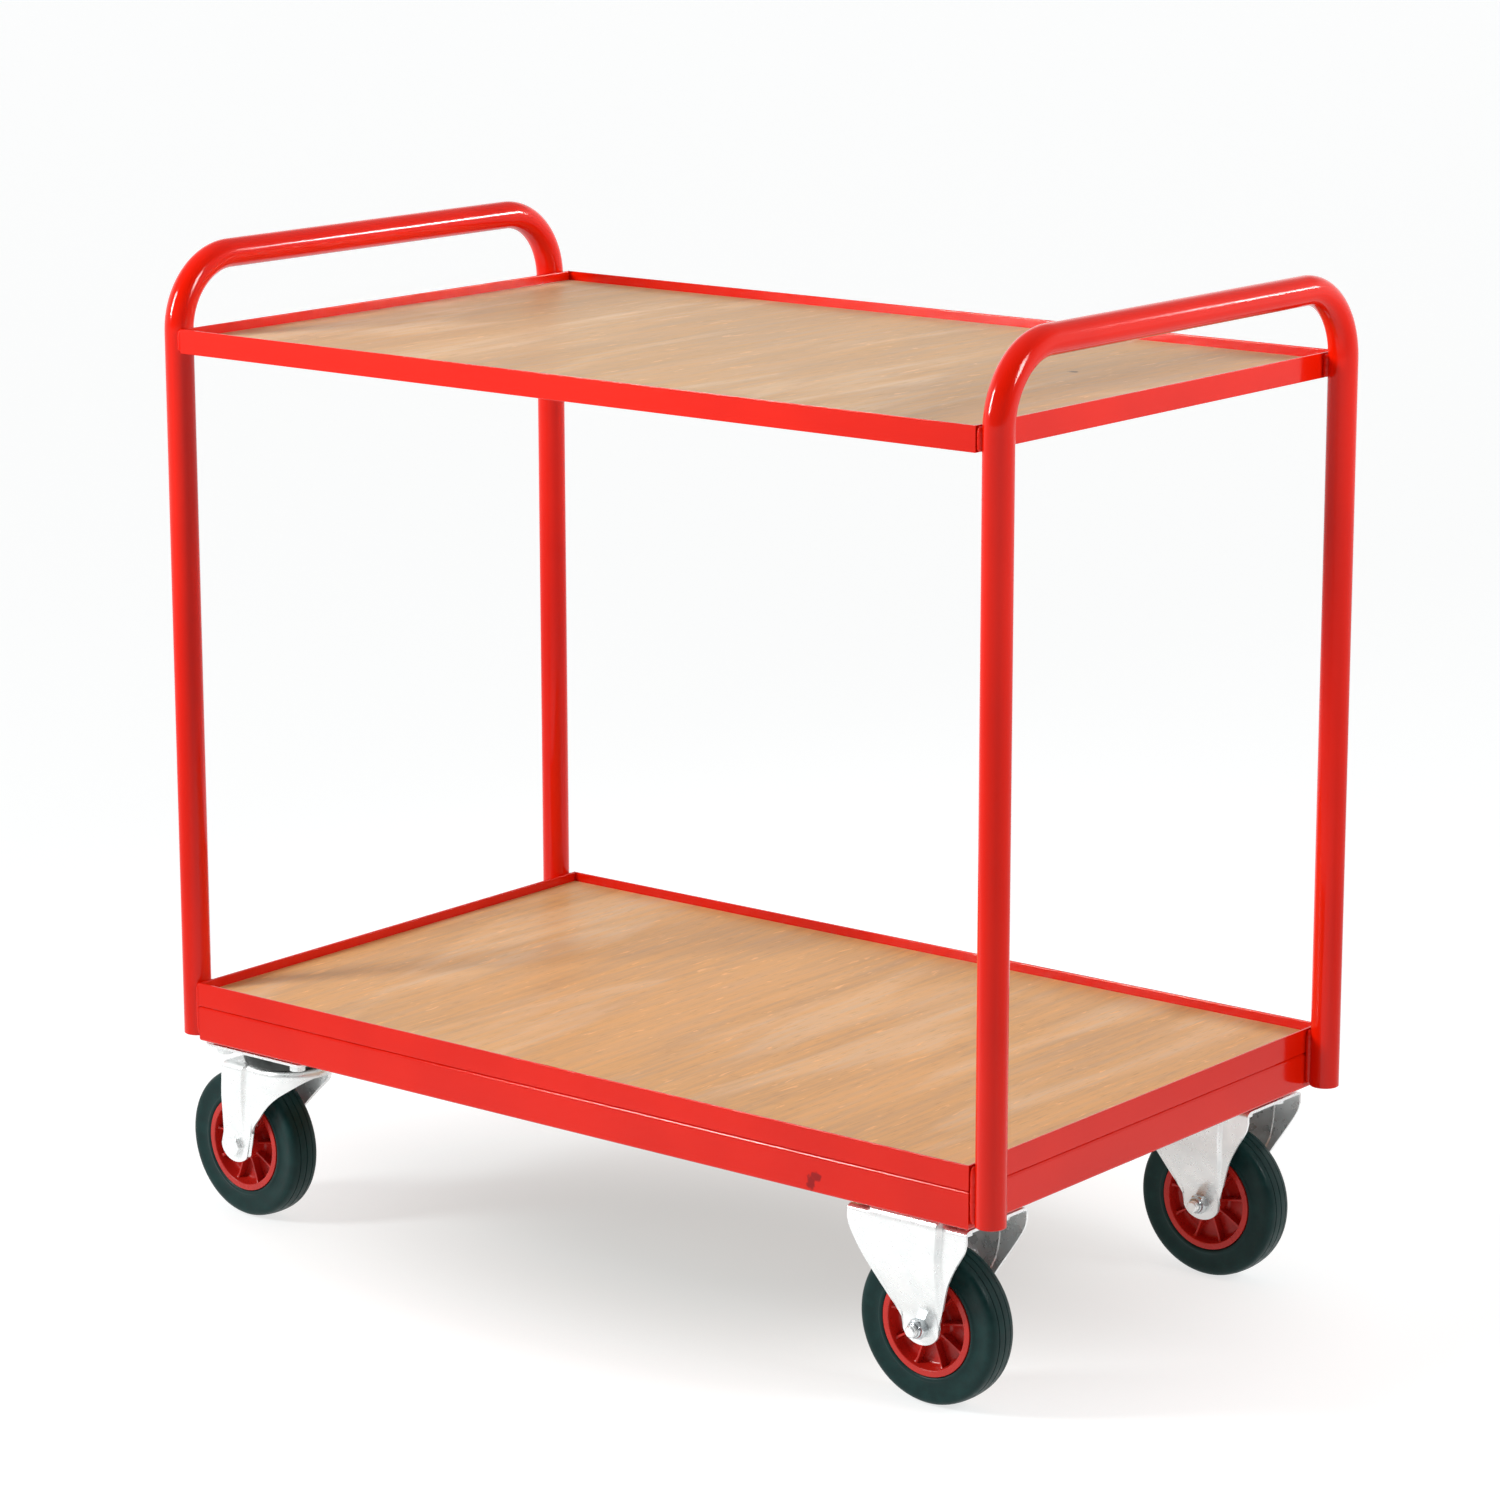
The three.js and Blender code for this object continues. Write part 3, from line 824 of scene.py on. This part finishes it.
def tyre(name):
    """A cushion tyre: bead beside the rim, slightly hollow side wall, fine grooves in the tread."""
    half = [
        (RIM_RADIUS + 0.2, 15.4), (52.3, 16.7), (53.1, 17.5), (54.3, 17.9), (55.7, 17.8),
        (56.7, 17.2), (57.9, 16.7), (61, 16.5), (65, 16.8), (69, 17.4), (72, 17.8),
        (74.4, 17.7), (76.6, 17.1), (78.4, 15.8), (79.5, 13.9), (80.1, 11.7), (80.4, 9.4),
        (80.42, 9.1), (80.3, 8.9), (79.7, 8.8), (79.7, 8.2), (80.5, 8.1), (80.62, 7.9),
        (80.8, 5), (80.95, 2.2), (80.97, 0.75), (80.85, 0.55), (80.2, 0.45),
    ]
    shape = Shape().lathe(mirrored(half), TYRE_SEGMENTS).moved(on_axle(name))
    stand_in(f"{name}_tyre", shape, "black_rubber")


def wheel_centre(name):
    """Hub, web and rim in one turned profile, with ribs on both faces of the web."""
    half = [
        (12.7, 21.0), (13.1, HUB_HALF_LENGTH), (15.9, HUB_HALF_LENGTH), (16.4, 21.0), (16.6, 18),
        (17.2, 11), (17.8, 6.2), (18.8, 3.9), (20.6, 2.8), (23, 2.5), (38.5, 2.5), (41.1, 2.9),
        (42.9, 4.4), (43.8, 7), (44.4, 12), (44.8, 16.9), (45.2, 17.6), (45.9, 17.9),
        (50.7, 17.9), (51.3, 17.6), (RIM_RADIUS, 17.0),
    ]
    shape = Shape().lathe(mirrored(half), WHEEL_SEGMENTS)
    for i in range(RIB_COUNT):
        for side in (-1, 1):
            turn = Matrix.Rotation(2 * math.pi * i / RIB_COUNT, 4, "Z")
            flip = Matrix.Scale(side, 4, (0, 0, 1))
            shape.join(rib().moved(turn @ flip))
    shape.moved(on_axle(name, -1))
    stand_in(f"{name}_wheel_centre", shape, "red_plastic")


def rib():
    """One rib from hub to rim, thinner at its rounded crest and flared at both ends."""
    inner = 15.2
    outer = 45.1
    foot = 0.5
    steps = 18
    rows = []
    for i in range(steps + 1):
        t = i / steps
        r = inner + (outer - inner) * t
        flare = abs(2 * t - 1) ** 6
        crest = RIB_CREST + 2.2 * flare
        half = RIB_HALF_WIDTH + 1.3 * flare
        rows.append([
            (r, -half - 0.45, foot), (r, -half, crest - 0.9), (r, -half * 0.72, crest - 0.22),
            (r, 0, crest),
            (r, half * 0.72, crest - 0.22), (r, half, crest - 0.9), (r, half + 0.45, foot),
        ])
    return Shape().prism(rows)


def axle_sleeve(name):
    bore = 6.3
    radius = 8.7
    chamfer = 0.4
    end = LEG_HALF_WIDTH - PRESSED_STEEL - CLEARANCE
    half = [(bore, end - chamfer), (bore + chamfer, end),
            (radius - chamfer, end), (radius, end - chamfer)]
    shape = Shape().lathe(mirrored(half), TURNED_SEGMENTS).moved(on_axle(name))
    stand_in(f"{name}_axle_sleeve", shape, "bearing_steel")


def roller_bearing(name):
    """Two cage rings and the rollers between them, around the sleeve."""
    half = HUB_HALF_LENGTH - 1
    ring_width = 4
    inner = 9.2
    outer = 12.3
    shape = Shape()
    for side in (-1, 1):
        low, high = sorted((side * half, side * (half - ring_width)))
        cage = [(inner, low), (outer, low), (outer, high), (inner, high)]
        shape.join(Shape().lathe(cage, TURNED_SEGMENTS))
    end = half - ring_width
    roller = [(0.9, -end), (1.45, 0.6 - end), (1.45, end - 0.6), (0.9, end)]
    circle_radius = (inner + outer) / 2
    for i in range(ROLLER_COUNT):
        turn = 2 * math.pi * i / ROLLER_COUNT
        spot = Vector((circle_radius * math.cos(turn), circle_radius * math.sin(turn), 0))
        one = Shape().lathe(roller, ROLLER_SEGMENTS, closed=False)
        shape.join(one.moved(Matrix.Translation(spot)))
    stand_in(f"{name}_roller_bearing", shape.moved(on_axle(name)), "bearing_steel")


def threaded(start, end, radius, pitch):
    """A profile of thread crests and roots, with a chamfered end."""
    root = radius * 0.88
    tip = 1.3
    profile = [(radius, start)]
    for i in range(int((end - tip - start) / pitch)):
        base = start + i * pitch
        profile += [(radius, base + 0.15 * pitch), (root, base + 0.5 * pitch),
                    (radius, base + 0.85 * pitch)]
    profile += [(radius, end - tip), (radius - 1.1, end)]
    return profile


def axle_bolt(name, nut_side):
    """The bolt along Z: head at negative Z, threaded end at positive Z."""
    face = LEG_HALF_WIDTH + CLEARANCE
    thread = threaded(face - 4, BOLT_END, BOLT_RADIUS, THREAD_PITCH)
    shank = [(BOLT_RADIUS, -face), *thread]
    shape = Shape().lathe(shank, BOLT_SEGMENTS, closed=False)
    shape.join(hex_prism(NUT_FLATS, -face - HEAD_LENGTH, -face, chamfer_high=False))
    flange = [(8.4, -face - 0.6), (8.8, -face - 0.5), (8.8, -face), (5, -face)]
    shape.join(Shape().lathe(flange, TURNED_SEGMENTS))
    stand_in(f"{name}_axle_bolt", shape.moved(on_axle(name, nut_side)), "bright_zinc")


def axle_nut(name, nut_side):
    """A locking nut: hexagon, rolled-over collar and the bolt's bore."""
    face = LEG_HALF_WIDTH + CLEARANCE
    top = face + NUT_LENGTH
    shape = hex_prism(NUT_FLATS, face, top - COLLAR_HEIGHT)
    collar = [
        (8.4, top - 4), (8.4, top - 3.2), (8.0, top - 1.3), (7.4, top - 0.3), (6.8, top),
        (6.1, top - 0.4), (6.1, top - 4),
    ]
    shape.join(Shape().lathe(collar, NUT_SEGMENTS))
    stand_in(f"{name}_axle_nut", shape.moved(on_axle(name, nut_side)), "bright_zinc",
             material=finishes["nut_zinc"])


def wheel_set(name, nut_side):
    axle_bolt(name, nut_side)
    axle_nut(name, nut_side)
    axle_sleeve(name)
    roller_bearing(name)
    wheel_centre(name)
    tyre(name)


# -------------------- pressed steel


def lean(z, shoulder, shares):
    """Half width over the outside of a leg, from the share of its lean left at each height."""
    return LEG_HALF_WIDTH + (shoulder - LEG_HALF_WIDTH) * between(z, shares)


def boss_arc(middle_x, first, last, steps):
    """The rounded end of a leg around the axle, between two angles in degrees."""
    arc = []
    for i in range(steps + 1):
        turn = math.radians(first + (last - first) * i / steps)
        arc.append((middle_x + BOSS_HALF_WIDTH * math.cos(turn),
                    -AXLE_DROP + BOSS_DEPTH * math.sin(turn)))
    return arc


def smooth_line(corners, steps=8):
    """A Catmull-Rom line through the corners."""
    pts = [Vector(c) for c in corners]
    pts = [2 * pts[0] - pts[1]] + pts + [2 * pts[-1] - pts[-2]]
    made = []
    for a, b, c, d in zip(pts, pts[1:], pts[2:], pts[3:]):
        for i in range(steps):
            t = i / steps
            made.append(tuple(0.5 * (2 * b + (c - a) * t + (2 * a - 5 * b + 4 * c - d) * t * t
                                     + (3 * b - a - 3 * c + d) * t ** 3)))
    made.append(tuple(pts[-2]))
    return made


def fixed_outline():
    """The lower edge of a fixed bracket's leg, from one end of the plate to the other."""
    arc = boss_arc(0, 14, -90, 24)
    corners = [(PLATE_LENGTH / 2, -16), (67, -26), (57, -43), (44, -66), (30, -96), arc[0]]
    points = smooth_line(corners) + arc[1:]
    return points + [(-x, z) for x, z in reversed(points[:-1])]


def fixed_bracket(node):
    """A one-piece pressing: flat top, two legs over rounded bends, a raised panel on each leg."""
    bend = BRACKET_BEND
    panel_widths = [(0, 41), (60, 37), (80, 31), (104, 26)]
    panel_rises = [(0, BRACKET_PANEL_RISE), (60, 5), (96, 2), (BRACKET_PANEL_END, 0)]
    flank = 3.4
    leg_steps = 40
    shares = smooth_line(BRACKET_LEAN, 4)

    def panel(x, z):
        """How far the raised panel stands out of the leg."""
        across = ease((between(-z, panel_widths) + flank / 2 - abs(x)) / flank)
        return across * between(-z, panel_rises)

    def crest(x):
        """The panel swells over the bend, and the plate's ends are set down."""
        swell = BRACKET_CREST_RISE * panel(x, 0) / BRACKET_PANEL_RISE
        return swell - WING_DROP * ease((abs(x) - WING_START) / WING_STEP)

    lower = sorted(fixed_outline())
    # Closer columns at the panel's flanks and at the step down to the plate's ends.
    flank_columns = [24 + 0.7 * i for i in range(28)]
    columns = {x for x, z in lower} | set(flank_columns) | {-x for x in flank_columns}
    rows = []
    for x in sorted(columns):
        foot = between(x, lower)
        flat_end = BRACKET_SHOULDER - bend + panel(x, 0)
        base = min(0, crest(x))
        column = [(x, flat_end * t, base) for t in (0, 0.3, 0.6, 0.85)]
        for turn in (90, 75, 60, 45, 30, 15, 0):
            a = math.radians(turn)
            lift = crest(x) * math.sin(a)
            column.append((x, flat_end + bend * math.cos(a), -bend + bend * math.sin(a) + lift))
        for i in range(1, leg_steps + 1):
            z = -bend + (foot + bend) * i / leg_steps
            column.append((x, lean(z, BRACKET_SHOULDER, shares) + panel(x, z), z))
        rows.append([(px, -py, pz) for px, py, pz in reversed(column[1:])] + column)
    pressing(node, Shape().grid(rows).moved(on_top(node)))


def pressing(node, shape):
    """Hangs an open sheet as a piece of bent steel. Its bends are not shaded as edges."""
    stand_in(node, shape, "bright_zinc", thickness=PRESSED_STEEL, bevel=SHEET_EDGE,
             sharp=BENT_SHEET_SHARP_DEGREES)


def fork_columns():
    """The swivel fork's columns down one leg, from the trailing edge to the front of the crown.

    Each column is a point on the crown's edge, the edge's outward direction, how far the column
    leans back on its way down, and the height of its lower end.
    """
    arc = boss_arc(-TRAIL, 180, 345, 22)
    corners = [arc[-1], (-28, -99), (-9, -77), (16, -54), (36, -39), (49, -28)]
    front = smooth_line(corners)[1:]
    lower = sorted((x + FORK_SLANT * (-CROWN_DROP - z), z) for x, z in arc + front)
    flank_columns = {FORK_PANEL_EDGE_X - 9 + 0.5 * i for i in range(26)}
    places = {x for x, z in lower if x < CROWN_CENTRE_X} | flank_columns
    columns = [((x, CROWN_HALF_WIDTH), (0, 1), FORK_SLANT, between(x, lower))
               for x in sorted(places)]
    lead = sorted(front)
    front_steps = 21
    for i in range(front_steps + 1):
        turn = math.radians(90 * (1 - i / front_steps))
        spot = (CROWN_CENTRE_X + CROWN_RADIUS * math.cos(turn), CROWN_HALF_WIDTH * math.sin(turn))
        tilt = FORK_SLANT * math.sin(turn) ** 2
        columns.append((spot, (math.cos(turn), math.sin(turn)), tilt, foot_of(spot[0], tilt, lead)))
    return columns


def foot_of(x, tilt, lead):
    """The height where a column that leans back from x meets the leg's front edge.

    It is closed in on, by going half of the way to the edge again and again.
    """
    z = -CROWN_DROP - 6
    for _ in range(40):
        z = between(x - tilt * (-CROWN_DROP - z), lead) * 0.5 + z * 0.5
    return z


def swivel_fork(name):
    """A pressed fork: D-shaped crown, two trailing legs, a raised panel down each leg's back."""
    across = axle_direction(name)
    bend = FORK_BEND
    bend_top = -CROWN_DROP - bend
    leg_steps = 30
    shares = smooth_line(FORK_LEAN, 6)

    def panel(crown_x, z):
        """How far the raised panel stands out of the leg."""
        rise = between(-z, [(CROWN_DROP, 4.5), (60, 4), (104, 0)])
        return ease((FORK_PANEL_EDGE_X - crown_x) / FORK_PANEL_FLANK) * rise

    half_rows = []
    for (cx, cy), (nx, ny), tilt, foot in fork_columns():
        column = []
        brim = Vector((cx, cy))
        outwards = Vector((nx, ny))
        on_straight_side = ny > 0.999
        start_x = cx if on_straight_side else CROWN_CENTRE_X
        edge = brim + outwards * (panel(cx, -CROWN_DROP) - bend)
        for t in (0, 0.25, 0.5, 0.75, 1):
            spot = Vector((start_x, 0)).lerp(edge, t)
            column.append((spot.x, spot.y, -CROWN_DROP))
        for turn in (72, 54, 36, 18, 0):
            a = math.radians(turn)
            spot = edge + outwards * bend * math.cos(a)
            drop = bend * (1 - math.sin(a))
            column.append((spot.x - tilt * drop, spot.y, -CROWN_DROP - drop))
        for i in range(1, leg_steps + 1):
            z = bend_top + (min(foot, bend_top - 0.5) - bend_top) * i / leg_steps
            inward = CROWN_HALF_WIDTH - lean(z, CROWN_HALF_WIDTH, shares)
            spot = brim + outwards * (panel(cx, z) - inward)
            column.append((spot.x - tilt * (-CROWN_DROP - z), spot.y, z))
        half_rows.append(column)
    other = [[(x, -y, z) for x, y, z in column] for column in reversed(half_rows[:-1])]
    turn = Matrix.Rotation(math.atan2(-across.x, across.y), 4, "Z")
    place = on_top(f"{name}_top_plate") @ turn
    pressing(f"{name}_fork", Shape().grid(half_rows + other).moved(place))


def flat_plate(outlines, thickness, edge):
    """A mesh of a flat plate lying on Z = 0 downwards. Outlines after the first are holes."""
    curve = bpy.data.curves.new("plate_outline", "CURVE")
    curve.dimensions = "2D"
    curve.fill_mode = "BOTH"
    curve.extrude = thickness / 2 - edge
    curve.bevel_depth = edge
    curve.bevel_resolution = 2
    curve.offset = -edge
    for outline in outlines:
        spline = curve.splines.new("POLY")
        spline.points.add(len(outline) - 1)
        for point, (x, y) in zip(spline.points, outline):
            point.co = (x, y, 0, 1)
        spline.use_cyclic_u = True
    holder = bpy.data.objects.new("plate_outline", curve)
    mesh = holder.to_mesh()
    shape = Shape()
    shape.points = [v.co + Vector((0, 0, -thickness / 2)) for v in mesh.vertices]
    shape.faces = [tuple(f.vertices) for f in mesh.polygons]
    bpy.data.objects.remove(holder)
    bpy.data.curves.remove(curve)
    return shape


def slot_outline(x, y):
    """A bolt slot that runs along X."""
    points = []
    steps = 8
    for side, first in ((1, -90), (-1, 90)):
        for i in range(steps + 1):
            turn = math.radians(first + 180 * i / steps)
            points.append((x + side * SLOT_TRAVEL / 2 + SLOT_RADIUS * math.cos(turn),
                           y + SLOT_RADIUS * math.sin(turn)))
    return points


def bolt_spots(spacing_y):
    return [(sx * BOLT_SPACING_X / 2, sy * spacing_y / 2) for sx in (-1, 1) for sy in (-1, 1)]


def top_plate(node):
    """The swivel castor's plate: flat, with bolt slots and the upper race pressed below it."""
    x = PLATE_LENGTH / 2
    y = PLATE_WIDTH / 2
    rim = rounded_rectangle(-x, -y, x, y, PLATE_CORNER)
    holes = [slot_outline(*spot) for spot in bolt_spots(SWIVEL_BOLT_SPACING_Y)]
    shape = flat_plate([rim, *holes], PRESSED_STEEL, PLATE_EDGE)
    race = [
        (24, -2.5), (25.2, -7.6), (26.5, -9.4), (28.5, -10), (36.5, -10), (39, -9.4),
        (42.2, -6.2), (44.6, -3.4), (46.5, -2.6), (46.5, -1), (24, -1),
    ]
    shape.join(Shape().lathe(race, RACE_SEGMENTS))
    stand_in(node, shape.moved(on_top(node)), "bright_zinc")


def ball_race(node, plate):
    """The dark ring between the pressed race and the fork's crown."""
    seal = [
        (27, -18.6), (43.5, -18.6), (45.6, -17.4), (46.8, -15), (47.2, -11), (47.2, -4.6),
        (46.6, -3.9), (45.8, -4.2), (44.6, -9), (41, -10.6), (27, -10.4),
    ]
    shape = Shape().lathe(seal, RACE_SEGMENTS)
    stand_in(node, shape.moved(on_top(plate)), "bearing_steel")


def kingpin(node, plate):
    """The pin through the crown, its flange and riveted end below it."""
    under = -CROWN_DROP - PRESSED_STEEL - CLEARANCE
    profile = [
        (8, -0.4), (8, under), (16.2, under), (16.9, under - 0.6), (14.6, under - 4.6),
        (13.8, under - 5.2), (9.2, under - 5.6), (8.2, under - 8.6), (7.4, under - 9),
    ]
    shape = Shape().lathe(profile, TURNED_SEGMENTS, closed=False)
    stand_in(node, shape.moved(on_top(plate)), "bright_zinc")


def fixing_bolts(name, plate, spacing_y, drop=0.0):
    """Four bolts with washers, each turned its own way, under a plate set down by the drop."""
    under = top_centre(plate) - Vector((0, 0, PRESSED_STEEL + drop))
    low = -WASHER_THICKNESS
    washer = [(5.4, 0), (9.6, 0), (10, -0.4), (10, low + 0.4), (9.6, low), (5.4, low)]
    for i, (x, y) in enumerate(bolt_spots(spacing_y)):
        shape = Shape().lathe(washer, TURNED_SEGMENTS)
        shape.join(hex_prism(FIXING_FLATS, low - FIXING_HEAD_LENGTH, low, chamfer_high=False))
        turn = Matrix.Rotation(0.5 + 1.7 * i, 4, "Z")
        shape.moved(Matrix.Translation(under + Vector((x, y, 0))) @ turn)
        add_piece(f"{name}_fixing_bolt_{i + 1}", shape, "bright_zinc", "frame")


def fixed_castor(name):
    fixed_bracket(f"{name}_bracket")
    fixing_bolts(name, f"{name}_bracket", FIXED_BOLT_SPACING_Y, WING_DROP)
    wheel_set(name, -1)


def swivel_castor(name):
    plate = f"{name}_top_plate"
    top_plate(plate)
    ball_race(f"{name}_ball_race", plate)
    kingpin(f"{name}_kingpin", plate)
    swivel_fork(name)
    fixing_bolts(name, plate, SWIVEL_BOLT_SPACING_Y)
    wheel_set(name, 1)


# -------------------- the trolley


def build_trolley():
    tray_low, tray_high = mm_box("upper_tray_front")
    angle = angle_profile(tray_high.z - tray_low.z)
    rectangle_of("upper_tray", angle)
    rectangle_of("lower_tray", angle)
    left_low, left_high = mm_box("chassis_rail_left")
    rectangle_of("chassis_rail", box_profile(left_high.x - left_low.x, left_high.z - left_low.z))
    board("upper_deck", None)
    board("lower_deck", warm_veneer)
    for side in ("left", "right"):
        hoop(f"{side}_hoop")
        cross_member(f"cross_member_{side}")
        for end in ("front", "back"):
            castor_pad(f"castor_pad_{side}_{end}")
    hoop_welds()
    for end in ("front", "back"):
        swivel_castor(f"left_{end}")
        fixed_castor(f"right_{end}")


# -------------------- stage, light, camera


def towards_camera():
    """The level direction from the trolley to the camera."""
    return (math.sin(CAMERA_AZIMUTH), -math.cos(CAMERA_AZIMUTH), 0)


def add_floor():
    """A pale floor, with a shadow painted under the trolley: its glow and its colour are darker
    there.

    It is also dimmer a few metres out, towards the camera and to both sides: the main view
    doesn't show those parts, and the enamel reflects them.
    """
    half = FLOOR_HALF_WIDTH
    corners = [(-half, -half, 0), (half, -half, 0), (half, half, 0), (-half, half, 0)]
    mesh = bpy.data.meshes.new("floor")
    mesh.from_pydata(corners, [], [(0, 1, 2, 3)])
    made = Finish("pale_floor", (0.42, 0.42, 0.42), Roughness=0.8, Specular_IOR_Level=0.1,
                  Emission_Color=(1, 1, 1, 1))

    def from_middle(x_share, y_share):
        scaled = made.vector_math("MULTIPLY", made.place, (x_share, y_share, 0))
        return made.vector_math("LENGTH", scaled)

    x, y, _ = towards_camera()
    ahead = made.vector_math("DOT_PRODUCT", made.place, (x, y, 0))
    aside = made.math("ABSOLUTE", made.vector_math("DOT_PRODUCT", made.place, (-y, x, 0)))
    beside = made.ramp(made.math("MULTIPLY_ADD", ahead, 0.17, aside), 0.85, 1.8)
    around = made.math("MAXIMUM", beside, made.ramp(ahead, 0.85, 3.0))
    dim = made.math("MULTIPLY", around, made.ramp(from_middle(1, 1), 2.8, 6.0, 1, 0))
    # A painted shadow: 1 under the trolley, fading out around it.
    under = made.ramp(from_middle(1.6, 2.4), 0.2, 1.25, 1, 0)
    glow = made.math("MULTIPLY_ADD", dim, -FLOOR_DIMMING, FLOOR_GLOW)
    made.set("Emission Strength", made.math("MULTIPLY_ADD", under, -FLOOR_PAINTED_SHADOW, glow))
    # The floor's colour is a little cyan to offset the pink light the red enamel throws on it.
    # Under the trolley it is darker, as painted shadow.
    floor_tone_with_painted_shadow = made.mix(under, (0.40, 0.42, 0.42), (0.16, 0.2, 0.205))
    made.set("Base Color", made.mix(dim, floor_tone_with_painted_shadow, (0.32, 0.32, 0.32)))
    mesh.materials.append(made.material)
    floor = bpy.data.objects.new("floor", mesh)
    floor.location.z = -FLOOR_GAP
    bpy.context.scene.collection.objects.link(floor)


def add_world(back, front, overhead):
    """A white room: brighter behind the trolley than in front of it, with a dimmer ceiling."""
    world = bpy.data.worlds.new("studio")
    world.use_nodes = True
    nodes = world.node_tree.nodes
    links = world.node_tree.links
    direction = nodes.new("ShaderNodeTexCoord").outputs["Generated"]

    def fade(axis, start, end, first, last):
        along = nodes.new("ShaderNodeVectorMath")
        along.operation = "DOT_PRODUCT"
        along.inputs[1].default_value = axis
        links.new(direction, along.inputs[0])
        ramp = nodes.new("ShaderNodeMapRange")
        ramp.interpolation_type = "SMOOTHSTEP"
        for socket, value in enumerate((start, end, first, last), 1):
            ramp.inputs[socket].default_value = value
        links.new(along.outputs["Value"], ramp.inputs[0])
        return ramp.outputs[0]

    strength = nodes.new("ShaderNodeMath")
    strength.operation = "MULTIPLY"
    links.new(fade(towards_camera(), -0.5, 0.7, back, front), strength.inputs[0])
    links.new(fade((0, 0, 1), 0.3, 0.55, 1, overhead), strength.inputs[1])
    links.new(strength.outputs[0], nodes["Background"].inputs["Strength"])
    nodes["Background"].inputs["Color"].default_value = (1, 1, 1, 1)
    bpy.context.scene.world = world


def add_softbox(name, spot, target, size, spread, power):
    """A rectangular light. The spread is in degrees, the power in watts."""
    light = bpy.data.lights.new(name, "AREA")
    light.shape = "RECTANGLE"
    light.size, light.size_y = size
    light.spread = math.radians(spread)
    light.energy = power
    lamp = bpy.data.objects.new(name, light)
    lamp.location = spot
    lamp.rotation_mode = "QUATERNION"
    lamp.rotation_quaternion = (Vector(target) - Vector(spot)).to_track_quat("-Z", "Y")
    bpy.context.scene.collection.objects.link(lamp)


def add_camera():
    target = Vector((middle("upper_deck").x * MM, 0, TARGET_HEIGHT))
    back = Vector((math.sin(CAMERA_AZIMUTH) * math.cos(CAMERA_ELEVATION),
                   -math.cos(CAMERA_AZIMUTH) * math.cos(CAMERA_ELEVATION),
                   math.sin(CAMERA_ELEVATION)))
    camera = bpy.data.cameras.new("camera")
    camera.sensor_width = 36
    camera.lens = CAMERA_LENS
    viewer = bpy.data.objects.new("camera", camera)
    viewer.location = target + back * CAMERA_DISTANCE
    viewer.rotation_mode = "QUATERNION"
    level = (-back).to_track_quat("-Z", "Y")
    viewer.rotation_quaternion = level @ Matrix.Rotation(CAMERA_ROLL, 3, "Z").to_quaternion()
    bpy.context.scene.collection.objects.link(viewer)
    bpy.context.scene.camera = viewer


build_trolley()
add_floor()
add_world(back=1.15, front=0.22, overhead=0.42)
add_softbox("key", (-1.75, -2.4, 2.1), (0.08, -0.1, 1.1), size=(0.6, 1.3), spread=70, power=21.5)
add_softbox("side", (3.0, 0.3, 2.3), (0.2, 0, 1.1), size=(0.7, 1.0), spread=60, power=8)
add_softbox("line", (1.95, 3.05, 1.9), (-0.5, 0, 1.1), size=(0.8, 0.5), spread=24, power=1.5)
add_camera()
bpy.context.scene.view_settings.view_transform = "Standard"
